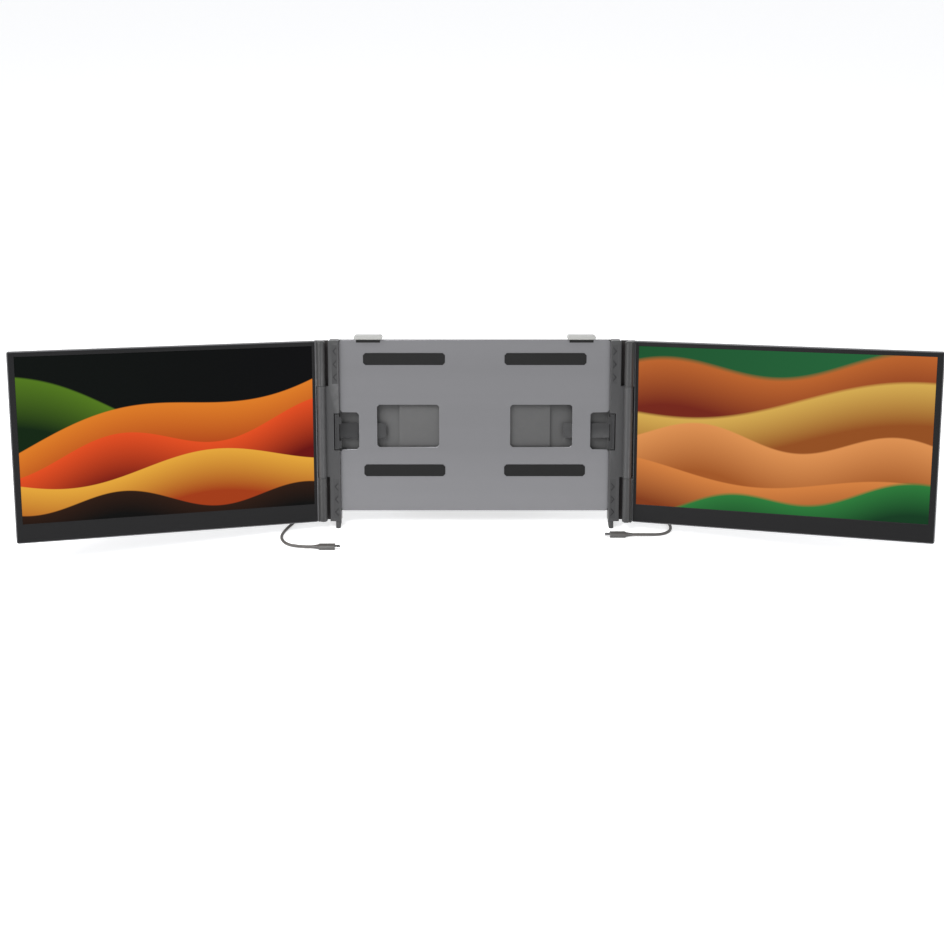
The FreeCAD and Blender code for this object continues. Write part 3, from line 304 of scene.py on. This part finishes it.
def finish_of(name):
    """The finish of each kind of piece, by name."""
    tones = bpy.context.scene.extender_colours
    if name == "casing":
        return coated("anodised casing", tones.casing, 0.38, 0.9, 2600, 0.1, wear=0.3)
    if name == "column":
        return coated("painted column", tones.column, 0.38, 0.0, 2200, 0.14, wear=0.35,
                      worn=(0.3, 0.3, 0.3), specular=0.35)
    if name == "knuckle":
        return coated("painted knuckle", tones.knuckle, 0.3, 0.0, 2200, 0.1, wear=0.35,
                      worn=(0.3, 0.3, 0.3), specular=0.4)
    if name == "inlay":
        return coated("inlay plastic", [c * 0.92 for c in tones.column], 0.5, 0.0, 1800, 0.2,
                      specular=0.3)
    if name == "cover":
        return coated("rear cover plastic", (0.07, 0.07, 0.07), 0.5, 0.0, 1500, 0.25, wear=0.2,
                      worn=(0.2, 0.2, 0.2))
    if name == "bezel":
        return coated("bezel plastic", tones.bezel, 0.42, 0.0, 1900, 0.12, shade=0.03,
                      specular=0.15)
    if name == "rubber":
        return coated("soft rubber", (0.014, 0.014, 0.014), 0.75, 0.0, 900, 0.3, shade=0.1,
                      specular=0.15)
    # Painted shade: near-black fill on the floors of the zigzag grooves
    if name == "groove":
        return coated("painted groove shade", (0.022, 0.022, 0.023), 0.6, 0.0, 900, 0.1, specular=0.2)
    if name == "foot":
        return coated("foot rubber", (0.05, 0.05, 0.05), 0.7, 0.0, 900, 0.3, shade=0.1)
    # Painted shade: the dark, faintly warm guard stands for the shade in the gap between column and
    # knuckle
    if name == "guard":
        return coated("gap shade guard", (0.016, 0.012, 0.012), 0.6, 0.0, 900, 0.2, shade=0.1)
    if name == "hook":
        return coated("satin hook", tones.hook, 0.4, 0.35, 2400, 0.1, wear=0.2, worn=(0.8, 0.8, 0.8))
    if name == "grip":
        return coated("clip plastic", (0.03, 0.03, 0.031), 0.36, 0.0, 2000, 0.1, wear=0.4,
                      worn=(0.25, 0.25, 0.25), specular=0.3)
    if name == "plate":
        return brushed("brushed plate", (0.22, 0.22, 0.23), (60, 1, 1))
    if name == "stand":
        return brushed("brushed stand", (0.3, 0.3, 0.31), (60, 1, 1))
    if name == "steel":
        return brushed("turned steel", (0.6, 0.6, 0.6), (1, 1, 20), 0.25)
    if name == "circuit":
        return circuit_material()
    if name == "light guide":
        return coated("light guide", (0.75, 0.75, 0.73), 0.5, 0.0, 500, 0.1)
    if name == "button":
        return coated("button plastic", (0.028, 0.028, 0.028), 0.4, 0.0, 1900, 0.15)
    if name == "plug":
        return coated("plug overmould", (0.085, 0.083, 0.08), 0.5, 0.0, 1700, 0.2)
    if name == "lead":
        return coated("lead jacket", tones.lead, 0.48, 0.0, 1500, 0.2, shade=0.1)
    raise ValueError(name)


def circuit_material():
    """Green board lacquer with pale tracks from a grid of bricks."""
    found = bpy.data.materials.get("board lacquer")
    if found:
        return found
    material, nodes, links, shader, place = blank("board lacquer")
    tracks = nodes.new("ShaderNodeTexBrick")
    tracks.inputs["Scale"].default_value = 320.0
    tracks.inputs["Color1"].default_value = (0.012, 0.11, 0.045, 1)
    tracks.inputs["Color2"].default_value = (0.014, 0.13, 0.055, 1)
    tracks.inputs["Mortar"].default_value = (0.03, 0.2, 0.09, 1)
    links.new(place, tracks.inputs["Vector"])
    links.new(tracks.outputs["Color"], shader.inputs["Base Color"])
    shader.inputs["Roughness"].default_value = 0.3
    return material


def display_material(name, side):
    """Lit display: rolling bands of colour, each with a bright crest and a dark foot."""
    found = bpy.data.materials.get(name)
    if found:
        return found
    material, nodes, links, shader, place = blank(name)
    chart = nodes.new("ShaderNodeUVMap")
    chart.uv_map = "picture"
    parts = nodes.new("ShaderNodeSeparateXYZ")
    links.new(chart.outputs["UV"], parts.inputs["Vector"])
    across, up = parts.outputs["X"], parts.outputs["Y"]
    far, bands = PICTURES[side]
    sky = nodes.new("ShaderNodeMix")
    sky.data_type = "RGBA"
    sky.inputs["A"].default_value = (*far[0], 1)
    sky.inputs["B"].default_value = (*far[1], 1)
    links.new(across, sky.inputs["Factor"])
    picture = sky.outputs["Result"]
    for height, slope, swell, count, phase, blur, depth, crest, foot in bands:
        turn = sums(nodes, links, "MULTIPLY_ADD", across, count * math.tau, phase * math.tau)
        wave = sums(nodes, links, "SINE", turn)
        lift = sums(nodes, links, "MULTIPLY_ADD", wave, swell, height)
        ramp = sums(nodes, links, "MULTIPLY_ADD", across, slope, lift)
        below = sums(nodes, links, "SUBTRACT", ramp, up)
        cover = sums(nodes, links, "DIVIDE", below, blur)
        cover.node.use_clamp = True
        fall = sums(nodes, links, "DIVIDE", below, depth)
        fall.node.use_clamp = True
        tone = nodes.new("ShaderNodeMix")
        tone.data_type = "RGBA"
        tone.inputs["A"].default_value = (*crest, 1)
        tone.inputs["B"].default_value = (*foot, 1)
        links.new(fall, tone.inputs["Factor"])
        laid = nodes.new("ShaderNodeMix")
        laid.data_type = "RGBA"
        links.new(cover, laid.inputs["Factor"])
        links.new(picture, laid.inputs["A"])
        links.new(tone.outputs["Result"], laid.inputs["B"])
        picture = laid.outputs["Result"]
    links.new(picture, shader.inputs["Emission Color"])
    shader.inputs["Emission Strength"].default_value = 0.85
    shader.inputs["Base Color"].default_value = (0.0015, 0.0015, 0.002, 1)
    shader.inputs["Roughness"].default_value = 0.25
    shader.inputs["Specular IOR Level"].default_value = 0.04
    return material


def sums(nodes, links, kind, *terms):
    """A math node of a kind over sockets and numbers, as its output socket."""
    node = nodes.new("ShaderNodeMath")
    node.operation = kind
    for item, term in zip(node.inputs, terms):
        if isinstance(term, bpy.types.NodeSocket):
            links.new(term, item)
        else:
            item.default_value = term
    return node.outputs[0]


# Each band: height, slope, swell, waves across, phase, blur, depth, crest colour, foot colour

PICTURES = {
    "left": (((0.001, 0.001, 0.001), (0.002, 0.004, 0.002)), (
        (0.30, 0.55, 0.05, 1.3, 0.10, 0.012, 0.30, (0.10, 0.22, 0.012), (0.004, 0.02, 0.003)),
        (0.86, -0.42, 0.09, 0.9, 0.62, 0.006, 0.34, (0.86, 0.24, 0.02), (0.40, 0.012, 0.004)),
        (0.60, -0.24, 0.08, 1.4, 0.30, 0.005, 0.30, (0.90, 0.09, 0.015), (0.16, 0.004, 0.002)),
        (0.36, -0.10, 0.07, 1.1, 0.85, 0.005, 0.26, (0.92, 0.46, 0.05), (0.42, 0.05, 0.006)),
        (0.10, 0.02, 0.06, 1.6, 0.20, 0.006, 0.14, (0.03, 0.01, 0.003), (0.002, 0.002, 0.001)),
    )),
    "right": (((0.012, 0.10, 0.03), (0.02, 0.16, 0.05)), (
        (0.86, 0.10, 0.07, 1.2, 0.15, 0.03, 0.30, (0.62, 0.16, 0.03), (0.20, 0.02, 0.008)),
        (0.62, 0.16, 0.08, 0.8, 0.55, 0.02, 0.26, (0.80, 0.50, 0.10), (0.34, 0.09, 0.015)),
        (0.48, -0.04, 0.07, 1.5, 0.92, 0.01, 0.30, (0.86, 0.34, 0.10), (0.42, 0.11, 0.02)),
        (0.26, -0.08, 0.06, 1.0, 0.35, 0.008, 0.26, (0.78, 0.26, 0.06), (0.26, 0.05, 0.01)),
        (0.00, 0.22, 0.05, 1.7, 0.70, 0.02, 0.20, (0.03, 0.24, 0.05), (0.006, 0.05, 0.015)),
    )),
}


# Mesh helpers

def put(name, build, material, body, where=None, smooth=True):
    """Makes a mesh piece from a bmesh, in the row frame, and lets it ride on a body."""
    mesh = bpy.data.meshes.new(name)
    build.normal_update()
    bmesh.ops.recalc_face_normals(build, faces=build.faces)
    if where is not None:
        bmesh.ops.transform(build, matrix=where, verts=build.verts)
    build.to_mesh(mesh)
    build.free()
    if smooth:
        mesh.shade_smooth()
        mesh.set_sharp_from_angle(angle=math.radians(35))
    piece = bpy.data.objects.new(name, mesh)
    bpy.context.scene.collection.objects.link(piece)
    mesh.materials.append(material)
    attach(piece, body)
    return piece


def body_name(node):
    """The body that a CAD node belongs to."""
    for name, members in frame["record"]["behaviour"]["bodies"].items():
        if node in members:
            return name
    raise ValueError(node)


def slab(build, low, high):
    """Adds a box between two corners to a bmesh and returns its vertices."""
    low, high = Vector(low), Vector(high)
    made = bmesh.ops.create_cube(build, size=1.0)["verts"]
    size = high - low
    bmesh.ops.scale(build, vec=size, verts=made)
    bmesh.ops.translate(build, vec=(low + high) / 2, verts=made)
    return made


def finish_node(name, material):
    """Gives a carried-over CAD node its material."""
    piece = frame["nodes"][name]
    piece.data.materials.clear()
    piece.data.materials.append(material)
    return piece


def merged_copy(name):
    """A bmesh of a CAD node with its loose triangles merged and joined into quads."""
    build = bmesh.new()
    build.from_mesh(frame["nodes"][name].data)
    bmesh.ops.remove_doubles(build, verts=build.verts, dist=0.000005)
    bmesh.ops.join_triangles(build, faces=build.faces, angle_face_threshold=math.radians(0.5),
                             angle_shape_threshold=math.pi)
    return build


def softened_node(name, material, width, segments=2, angle=30):
    """Replaces a CAD node by a copy of it whose sharp edges are slightly rounded."""
    build = merged_copy(name)
    piece = put(name + "_soft", build, material, body_name(name))
    soft = piece.modifiers.new("soft edges", "BEVEL")
    soft.width = width
    soft.segments = segments
    soft.limit_method = "ANGLE"
    soft.angle_limit = math.radians(angle)
    soft.harden_normals = False
    soft.use_clamp_overlap = True
    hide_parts(name)
    return piece


# Screens

class OBJECT_OT_extender_screens(bpy.types.Operator):
    """Casings, bezels, lit displays and the parts inside them"""
    bl_idname = "object.extender_screens"
    bl_label = "Screens"

    def execute(self, context):
        for side in SIGN:
            softened_node(side + "_rear_cover", finish_of("casing"),
                          context.scene.extender_sizes.rim_bevel)
            softened_node(side + "_front_frame", finish_of("bezel"), 0.00015)
            self.display(side)
            finish_node(side + "_backlight", finish_of("light guide"))
            finish_node(side + "_driver_board", finish_of("circuit"))
            finish_node(side + "_friction_sleeves", finish_of("steel"))
            self.vent_shade(side)
        return {"FINISHED"}

    def display(self, side):
        """Display glass with a chart of its picture laid over its front."""
        build = bmesh.new()
        sign = SIGN[side]
        slab(build, DISPLAY_LOW, DISPLAY_HIGH)
        span = DISPLAY_HIGH - DISPLAY_LOW
        chart = build.loops.layers.uv.new("picture")
        for face in build.faces:
            for loop in face.loops:
                spot = loop.vert.co - DISPLAY_LOW
                loop[chart].uv = (spot.x / span.x, spot.z / span.z)
        bmesh.ops.scale(build, vec=(sign, 1, 1), verts=build.verts)
        bmesh.ops.recalc_face_normals(build, faces=build.faces)
        piece = put(side + "_display_lit", build, display_material(side + " picture", side),
                    side + "_screen", swung(side), smooth=False)
        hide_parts(side + "_display_panel")

    def vent_shade(self, side):
        """Two rows of small vent slots on the back of a screen, drawn as thin dark slabs: painted shade
        in their openings.
        """
        sign = SIGN[side]
        build = bmesh.new()
        for row in range(2):
            for column in range(14):
                corner = VENT_CORNER + Vector((VENT_STEP[0] * column, 0, VENT_STEP[1] * row))
                slab(build, corner, corner + VENT_SIZE)
        bmesh.ops.scale(build, vec=(sign, 1, 1), verts=build.verts)
        # Painted shade: dark rubber finish on the slabs that stand for the slot openings
        put(side + "_vent_slot_shade", build, finish_of("rubber"), side + "_screen",
            swung(side), smooth=False)


# Hinges and columns

class OBJECT_OT_extender_hinges(bpy.types.Operator):
    """Columns, knuckles, pins, covers, ports and buttons"""
    bl_idname = "object.extender_hinges"
    bl_label = "Hinges and columns"

    def execute(self, context):
        for side in SIGN:
            softened_node(side + "_column_shell", finish_of("column"), 0.0003)
            for name in ("_upper_knuckle", "_lower_knuckle"):
                softened_node(side + name, finish_of("knuckle"), 0.00025)
            finish_node(side + "_hinge_pins", finish_of("steel"))
            softened_node(side + "_column_cover", finish_of("cover"), 0.0003)
            softened_node(side + "_grip_panels", finish_of("inlay"), 0.0001)
            finish_node(side + "_usb_sockets", finish_of("steel"))
            finish_node(side + "_port_board", finish_of("circuit"))
            # Painted shade: the guard fills the gap beside the barrel with a dark colour
            softened_node(side + "_hinge_guard", finish_of("guard"), 0.0002)
            softened_node(side + "_rubber_foot", finish_of("foot"), 0.0005)
            for name in ("_power_button", "_menu_button"):
                softened_node(side + name, finish_of("button"), 0.00012)
            self.screws(side)
            self.zigzags(side)
            self.shade_lip(side)
        return {"FINISHED"}

    def zigzags(self, side):
        """Painted shade: dark lines laid in the zigzag grooves of a column's grip panels, where shade
        falls.
        """
        build = bmesh.new()
        for low in PANEL_LOWS:
            for count in range(3):
                foot = low + ZIGZAG_FIRST + ZIGZAG_PITCH * count
                rim = [build.verts.new((SIGN[side] * x, ZIGZAG_DEPTH, foot + z))
                       for x, z in ZIGZAG_OUTLINE]
                face = build.faces.new(rim)
                grown = bmesh.ops.extrude_face_region(build, geom=[face])["geom"]
                raised = [item for item in grown if isinstance(item, bmesh.types.BMVert)]
                bmesh.ops.translate(build, vec=(0, 0.0001, 0), verts=raised)
        put(side + "_zigzag_groove_shade", build, finish_of("groove"), "bracket", LEANED,
            smooth=False)

    def shade_lip(self, side):
        """Painted shade: a dark soft lip on the guard, behind the slit beside the column's barrel,
        where shade falls.
        """
        build = bmesh.new()
        slab(build, SHADE_LIP_LOW, SHADE_LIP_HIGH)
        bmesh.ops.bevel(build, geom=build.edges[:], offset=0.0002, segments=2, profile=0.5,
                        affect="EDGES", material=-1)
        bmesh.ops.scale(build, vec=(SIGN[side], 1, 1), verts=build.verts)
        put(side + "_guard_shade_lip", build, finish_of("guard"), "bracket", LEANED)

    def screws(self, side):
        """Cross-recessed screw heads in a column's rear cover."""
        sign = SIGN[side]
        build = bmesh.new()
        for height in COVER_SCREW_HEIGHTS:
            screw_head(build, Vector((sign * PORT_SPOT.x, PORT_SPOT.y, height)))
        put(side + "_cover_screw_heads", build, finish_of("steel"), "bracket", LEANED)


def screw_head(build, spot):
    """A domed screw head with a cross recess, facing back."""
    width = bpy.context.scene.extender_sizes.screw_width
    face = Matrix.Rotation(math.radians(-90), 4, "X")
    made = bmesh.ops.create_cone(build, cap_ends=True, segments=24, radius1=width / 2,
                                 radius2=width * 0.42, depth=0.0007,
                                 matrix=Matrix.Translation(spot + Vector((0, 0.00035, 0))) @ face)
    rims = {e for v in made["verts"] for e in v.link_edges if v.co.y > spot.y + 0.0005}
    rims = [e for e in rims if all(v.co.y > spot.y + 0.0005 for v in e.verts)]
    bmesh.ops.bevel(build, geom=rims, offset=0.00025, segments=3, profile=0.5, affect="EDGES",
                    material=-1)
    for turn in (0, math.pi / 2):
        arm = bmesh.ops.create_cube(build, size=1.0)["verts"]
        bmesh.ops.scale(build, vec=(width * 0.5, 0.0001, width * 0.12), verts=arm)
        bmesh.ops.rotate(build, cent=(0, 0, 0), matrix=Matrix.Rotation(turn, 3, "Y"), verts=arm)
        bmesh.ops.translate(build, vec=spot + Vector((0, 0.00072, 0)), verts=arm)


# Bracket and clips

class OBJECT_OT_extender_bracket(bpy.types.Operator):
    """Plate, pads, housing, crossbars, kickstand, top clips and side clips"""
    bl_idname = "object.extender_bracket"
    bl_label = "Bracket and clips"

    def execute(self, context):
        softened_node("front_plate", finish_of("plate"), 0.0003)
        softened_node("lid_pads", finish_of("rubber"), 0.0003)
        finish_node("crossbars", finish_of("steel"))
        softened_node("rear_housing", finish_of("cover"), 0.0004)
        softened_node("kickstand", finish_of("stand"), 0.0004)
        finish_node("kickstand_pin", finish_of("steel"))
        softened_node("kickstand_pad", finish_of("rubber"), 0.0002)
        for side in SIGN:
            softened_node(side + "_top_clip", finish_of("hook"), 0.0004, 3)
            softened_node(side + "_top_clip_pad", finish_of("rubber"), 0.0002)
            softened_node(side + "_side_clip", finish_of("grip"), 0.0003)
            finish_node(side + "_side_clip_pad", finish_of("rubber"))
        build = bmesh.new()
        for x, z in HOUSING_SCREWS:
            screw_head(build, Vector((x, HOUSING_BACK, z)))
        put("housing_screw_heads", build, finish_of("steel"), "bracket", LEANED)
        return {"FINISHED"}


# Leads

LEFT_ROUTE = [(-195.0, 84.0, 18.0), (-209.0, 98.0, 8.5), (-228.0, 97.5, 2.0), (-242.0, 84.0, 2.0),
              (-246.5, 63.0, 2.0), (-243.0, 39.0, 2.0), (-246.0, 13.0, 2.0), (-256.5, -11.0, 2.0),
              (-262.0, -36.0, 2.0), (-252.0, -57.0, 2.0)]
LEFT_PLUG = (-207.0, -66.2, 3.3)
RIGHT_ROUTE = [(195.0, 84.0, 18.0), (209.5, 98.0, 8.5), (229.0, 98.5, 2.0), (245.0, 86.0, 2.0),
               (253.5, 65.0, 2.0), (256.0, 42.0, 2.0), (262.0, 20.0, 2.0), (268.0, 0.0, 2.0),
               (265.5, -17.0, 2.0), (253.0, -28.0, 2.0)]
RIGHT_PLUG = (203.5, -30.3, 3.3)
GRIP_LONG = 0.0213
TAPER_LONG = 0.009
STRAIGHT_LONG = 0.015


def on_desk(point):
    """A point measured on the desk, in millimetres, as a place in the row frame."""
    return Vector(point) / 1000 + SHIFT


def lead_route(side, route, plug):
    """The points of a lead's route, from its port plug to its laptop plug."""
    sign = SIGN[side]
    mouth = Vector((sign * PORT_SPOT.x, PORT_SPOT.y + GRIP_LONG + TAPER_LONG, PORT_SPOT.z))
    spot = LEANED @ mouth
    outward = Vector((sign, 0, 0))
    tail = on_desk(plug) + outward * TAPER_LONG
    return ([spot, spot + BACK * STRAIGHT_LONG] + [on_desk(point) for point in route]
            + [tail + outward * STRAIGHT_LONG, tail])


class OBJECT_OT_extender_leads(bpy.types.Operator):
    """The two leads with their plugs"""
    bl_idname = "object.extender_leads"
    bl_label = "Leads"

    def execute(self, context):
        for side, route, plug in (("left", LEFT_ROUTE, LEFT_PLUG), ("right", RIGHT_ROUTE, RIGHT_PLUG)):
            points = lead_route(side, route, plug)
            pieces = [self.line(context, side, points)]
            sign = SIGN[side]
            way = Matrix.Rotation(0 if sign > 0 else math.pi, 4, "Z")
            desk = Matrix.Translation(on_desk(plug)) @ way @ Matrix.Translation((-GRIP_LONG, 0, 0))
            upright = Matrix.Rotation(math.pi / 2, 4, "Z") @ Matrix.Rotation(math.pi / 2, 4, "X")
            port = LEANED @ Matrix.Translation((sign * PORT_SPOT.x, PORT_SPOT.y, PORT_SPOT.z)) @ upright
            for name, place in (("_laptop_plug", desk), ("_port_plug", port)):
                pieces.append(self.plug(side + name, place))
            finish_node(side + "_plug_shells", finish_of("steel"))
            lead = pieces[0]
            measured_length(lead)
        return {"FINISHED"}

    def line(self, context, side, points):
        """The lead as a curve through the route's points."""
        curve = bpy.data.curves.new(side + "_lead_line", "CURVE")
        curve.dimensions = "3D"
        curve.bevel_depth = context.scene.extender_sizes.lead_width / 2
        curve.bevel_resolution = 6
        curve.use_fill_caps = True
        spline = curve.splines.new("NURBS")
        spline.points.add(len(points) - 1)
        for item, point in zip(spline.points, points):
            item.co = (*point, 1)
        spline.order_u = 3
        spline.use_endpoint_u = True
        spline.resolution_u = 10
        lead = bpy.data.objects.new(side + "_lead_line", curve)
        context.scene.collection.objects.link(lead)
        curve.materials.append(finish_of("lead"))
        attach(lead, "bracket")
        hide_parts(side + "_lead")
        return lead

    def plug(self, name, place):
        """Oval overmould with a soft front edge, grip grooves and a tapered strain relief."""
        build = bmesh.new()
        sections = ((0.0, 0.0028, 0.0027), (0.0004, 0.0032, 0.0029),
                    (GRIP_LONG - 0.0012, 0.0032, 0.0029), (GRIP_LONG, 0.0029, 0.0026),
                    (GRIP_LONG + 0.001, 0.0027, 0.0014), (GRIP_LONG + 0.0035, 0.0025, 0.0008),
                    (GRIP_LONG + TAPER_LONG, 0.0021, 0.0001))
        rings = [oval_ring(build, along, radius, half) for along, radius, half in sections]
        for a, b in zip(rings, rings[1:]):
            bmesh.ops.bridge_loops(build, edges=a + b)
        for ring in (rings[0], rings[-1]):
            bmesh.ops.contextual_create(build, geom=ring)
        for i in range(4):
            along = 0.0065 + 0.0026 * i
            for way in (-1, 1):
                slab(build, (along, -0.0026, way * 0.0031 - 0.0002),
                     (along + 0.0012, 0.0026, way * 0.0031 + 0.0002))
        piece = put(name + "_moulded", build, finish_of("plug"), "bracket", place)
        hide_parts(name)
        return piece


def oval_ring(build, along, radius, half, flats=10):
    """A ring of edges across X: two straight sides and two round ends."""
    rim = []
    for way in (1, -1):
        for step in range(flats + 1):
            angle = math.pi * (step / flats - 0.5) + (0 if way > 0 else math.pi)
            rim.append(build.verts.new((along, way * half + radius * math.cos(angle),
                                        radius * math.sin(angle))))
    return [build.edges.new((a, b)) for a, b in zip(rim, rim[1:] + rim[:1])]


def measured_length(lead):
    """The length of the lead's own line."""
    bare = lead.data.copy()
    bare.bevel_depth = 0
    bare.use_fill_caps = False
    holder = bpy.data.objects.new("measure", bare)
    line = holder.to_mesh()
    total = sum((line.vertices[e.vertices[0]].co - line.vertices[e.vertices[1]].co).length
                for e in line.edges)
    holder.to_mesh_clear()
    bpy.data.objects.remove(holder)
    bpy.data.curves.remove(bare)
    return total


# Stage

def seen_rays(nodes, links):
    """One where a ray comes from the camera, a reflection or glass, and nought elsewhere."""
    path = nodes.new("ShaderNodeLightPath")
    both = sums(nodes, links, "ADD", path.outputs["Is Camera Ray"], path.outputs["Is Glossy Ray"])
    seen = sums(nodes, links, "ADD", both, path.outputs["Is Transmission Ray"])
    seen.node.use_clamp = True
    return seen


class OBJECT_OT_extender_stage(bpy.types.Operator):
    """Floor, backdrop, lights and camera"""
    bl_idname = "object.extender_stage"
    bl_label = "Stage"

    def execute(self, context):
        scene = context.scene
        self.floor(scene)
        self.lights(scene)
        self.camera(scene)
        scene.view_settings.view_transform = "Standard"
        return {"FINISHED"}

    def floor(self, scene):
        build = bmesh.new()
        bmesh.ops.create_grid(build, x_segments=1, y_segments=1, size=6.0)
        mesh = bpy.data.meshes.new("floor")
        build.to_mesh(mesh)
        build.free()
        floor = bpy.data.objects.new("floor", mesh)
        scene.collection.objects.link(floor)
        floor.data.materials.append(self.floor_material(scene))

    def floor_material(self, scene):
        """Pale floor with faint mottling, seen as white beyond the object's shadow."""
        material = coated("pale floor", scene.extender_colours.floor, 0.7, 0.0, 60, 0.02,
                          shade=0.015, specular=0.1)
        nodes, links = material.node_tree.nodes, material.node_tree.links
        shader = nodes["Principled BSDF"]
        shader.inputs["Emission Strength"].default_value = 1.0
        glow = nodes.new("ShaderNodeMix")
        glow.data_type = "RGBA"
        glow.inputs["A"].default_value = (0, 0, 0, 1)
        glow.inputs["B"].default_value = (0.62, 0.62, 0.62, 1)
        links.new(seen_rays(nodes, links), glow.inputs["Factor"])
        links.new(glow.outputs["Result"], shader.inputs["Emission Color"])
        return material

    def lights(self, scene):
        sizes = scene.extender_sizes
        world = bpy.data.worlds.new("studio")
        scene.world = world
        world.use_nodes = True
        nodes, links = world.node_tree.nodes, world.node_tree.links
        shade = nodes.new("ShaderNodeMix")
        shade.data_type = "RGBA"
        shade.inputs["A"].default_value = (0.36, 0.37, 0.39, 1)
        shade.inputs["B"].default_value = (1, 1, 1, 1)
        links.new(seen_rays(nodes, links), shade.inputs["Factor"])
        links.new(shade.outputs["Result"], nodes["Background"].inputs["Color"])
        spots = (("key", (-0.9, -0.9, 1.9), (1.3, 1.3), sizes.key_light),
                 ("left fill", (-2.0, -0.8, 1.0), (1.2, 1.2), sizes.fill_light),
                 ("right fill", (2.0, -0.4, 1.1), (1.2, 1.2), sizes.fill_light),
                 ("left strip", (-1.5, -1.8, 0.36), (0.15, 0.5), sizes.strip_light),
                 ("right strip", (1.5, -1.8, 0.36), (0.15, 0.5), sizes.strip_light))
        for name, spot, size, power in spots:
            lamp = bpy.data.lights.new(name, "AREA")
            lamp.shape = "RECTANGLE"
            lamp.size, lamp.size_y = size
            lamp.energy = power
            holder = bpy.data.objects.new(name, lamp)
            holder.location = spot
            holder.visible_camera = False
            aim = Vector((0, 0, 0.12)) - Vector(spot)
            holder.rotation_euler = aim.to_track_quat("-Z", "Y").to_euler()
            scene.collection.objects.link(holder)

    def camera(self, scene):
        """Level camera in front of the object, looking a little down."""
        lens = bpy.data.cameras.new("camera")
        lens.sensor_width = 36.0
        lens.lens = 60.0
        holder = bpy.data.objects.new("camera", lens)
        holder.location = CAMERA_SPOT + SHIFT
        holder.rotation_euler = (math.radians(90 - CAMERA_PITCH), 0, 0)
        scene.collection.objects.link(holder)
        scene.camera = holder


class VIEW3D_PT_extender(bpy.types.Panel):
    """Sizes, colours and steps of the screen extender"""
    bl_idname = "VIEW3D_PT_extender"
    bl_label = "Screen Extender"
    bl_space_type = "VIEW_3D"
    bl_region_type = "UI"
    bl_category = "Screen Extender"

    def draw(self, context):
        layout = self.layout
        for group in (context.scene.extender_sizes, context.scene.extender_colours):
            for name in group.__annotations__:
                layout.prop(group, name)
        for step in STEPS:
            layout.operator(step.bl_idname)


STEPS = (OBJECT_OT_extender_screens, OBJECT_OT_extender_hinges, OBJECT_OT_extender_bracket,
         OBJECT_OT_extender_leads, OBJECT_OT_extender_stage)
CLASSES = (ExtenderSizes, ExtenderColours) + STEPS + (VIEW3D_PT_extender,)


def register():
    for item in CLASSES:
        bpy.utils.register_class(item)
    bpy.types.Scene.extender_sizes = PointerProperty(type=ExtenderSizes)
    bpy.types.Scene.extender_colours = PointerProperty(type=ExtenderColours)


def unregister():
    del bpy.types.Scene.extender_colours
    del bpy.types.Scene.extender_sizes
    for item in reversed(CLASSES):
        bpy.utils.unregister_class(item)


def main():
    register()
    bpy.ops.object.extender_screens()
    bpy.ops.object.extender_hinges()
    bpy.ops.object.extender_bracket()
    bpy.ops.object.extender_leads()
    bpy.ops.object.extender_stage()


if __name__ == "__main__":
    main()
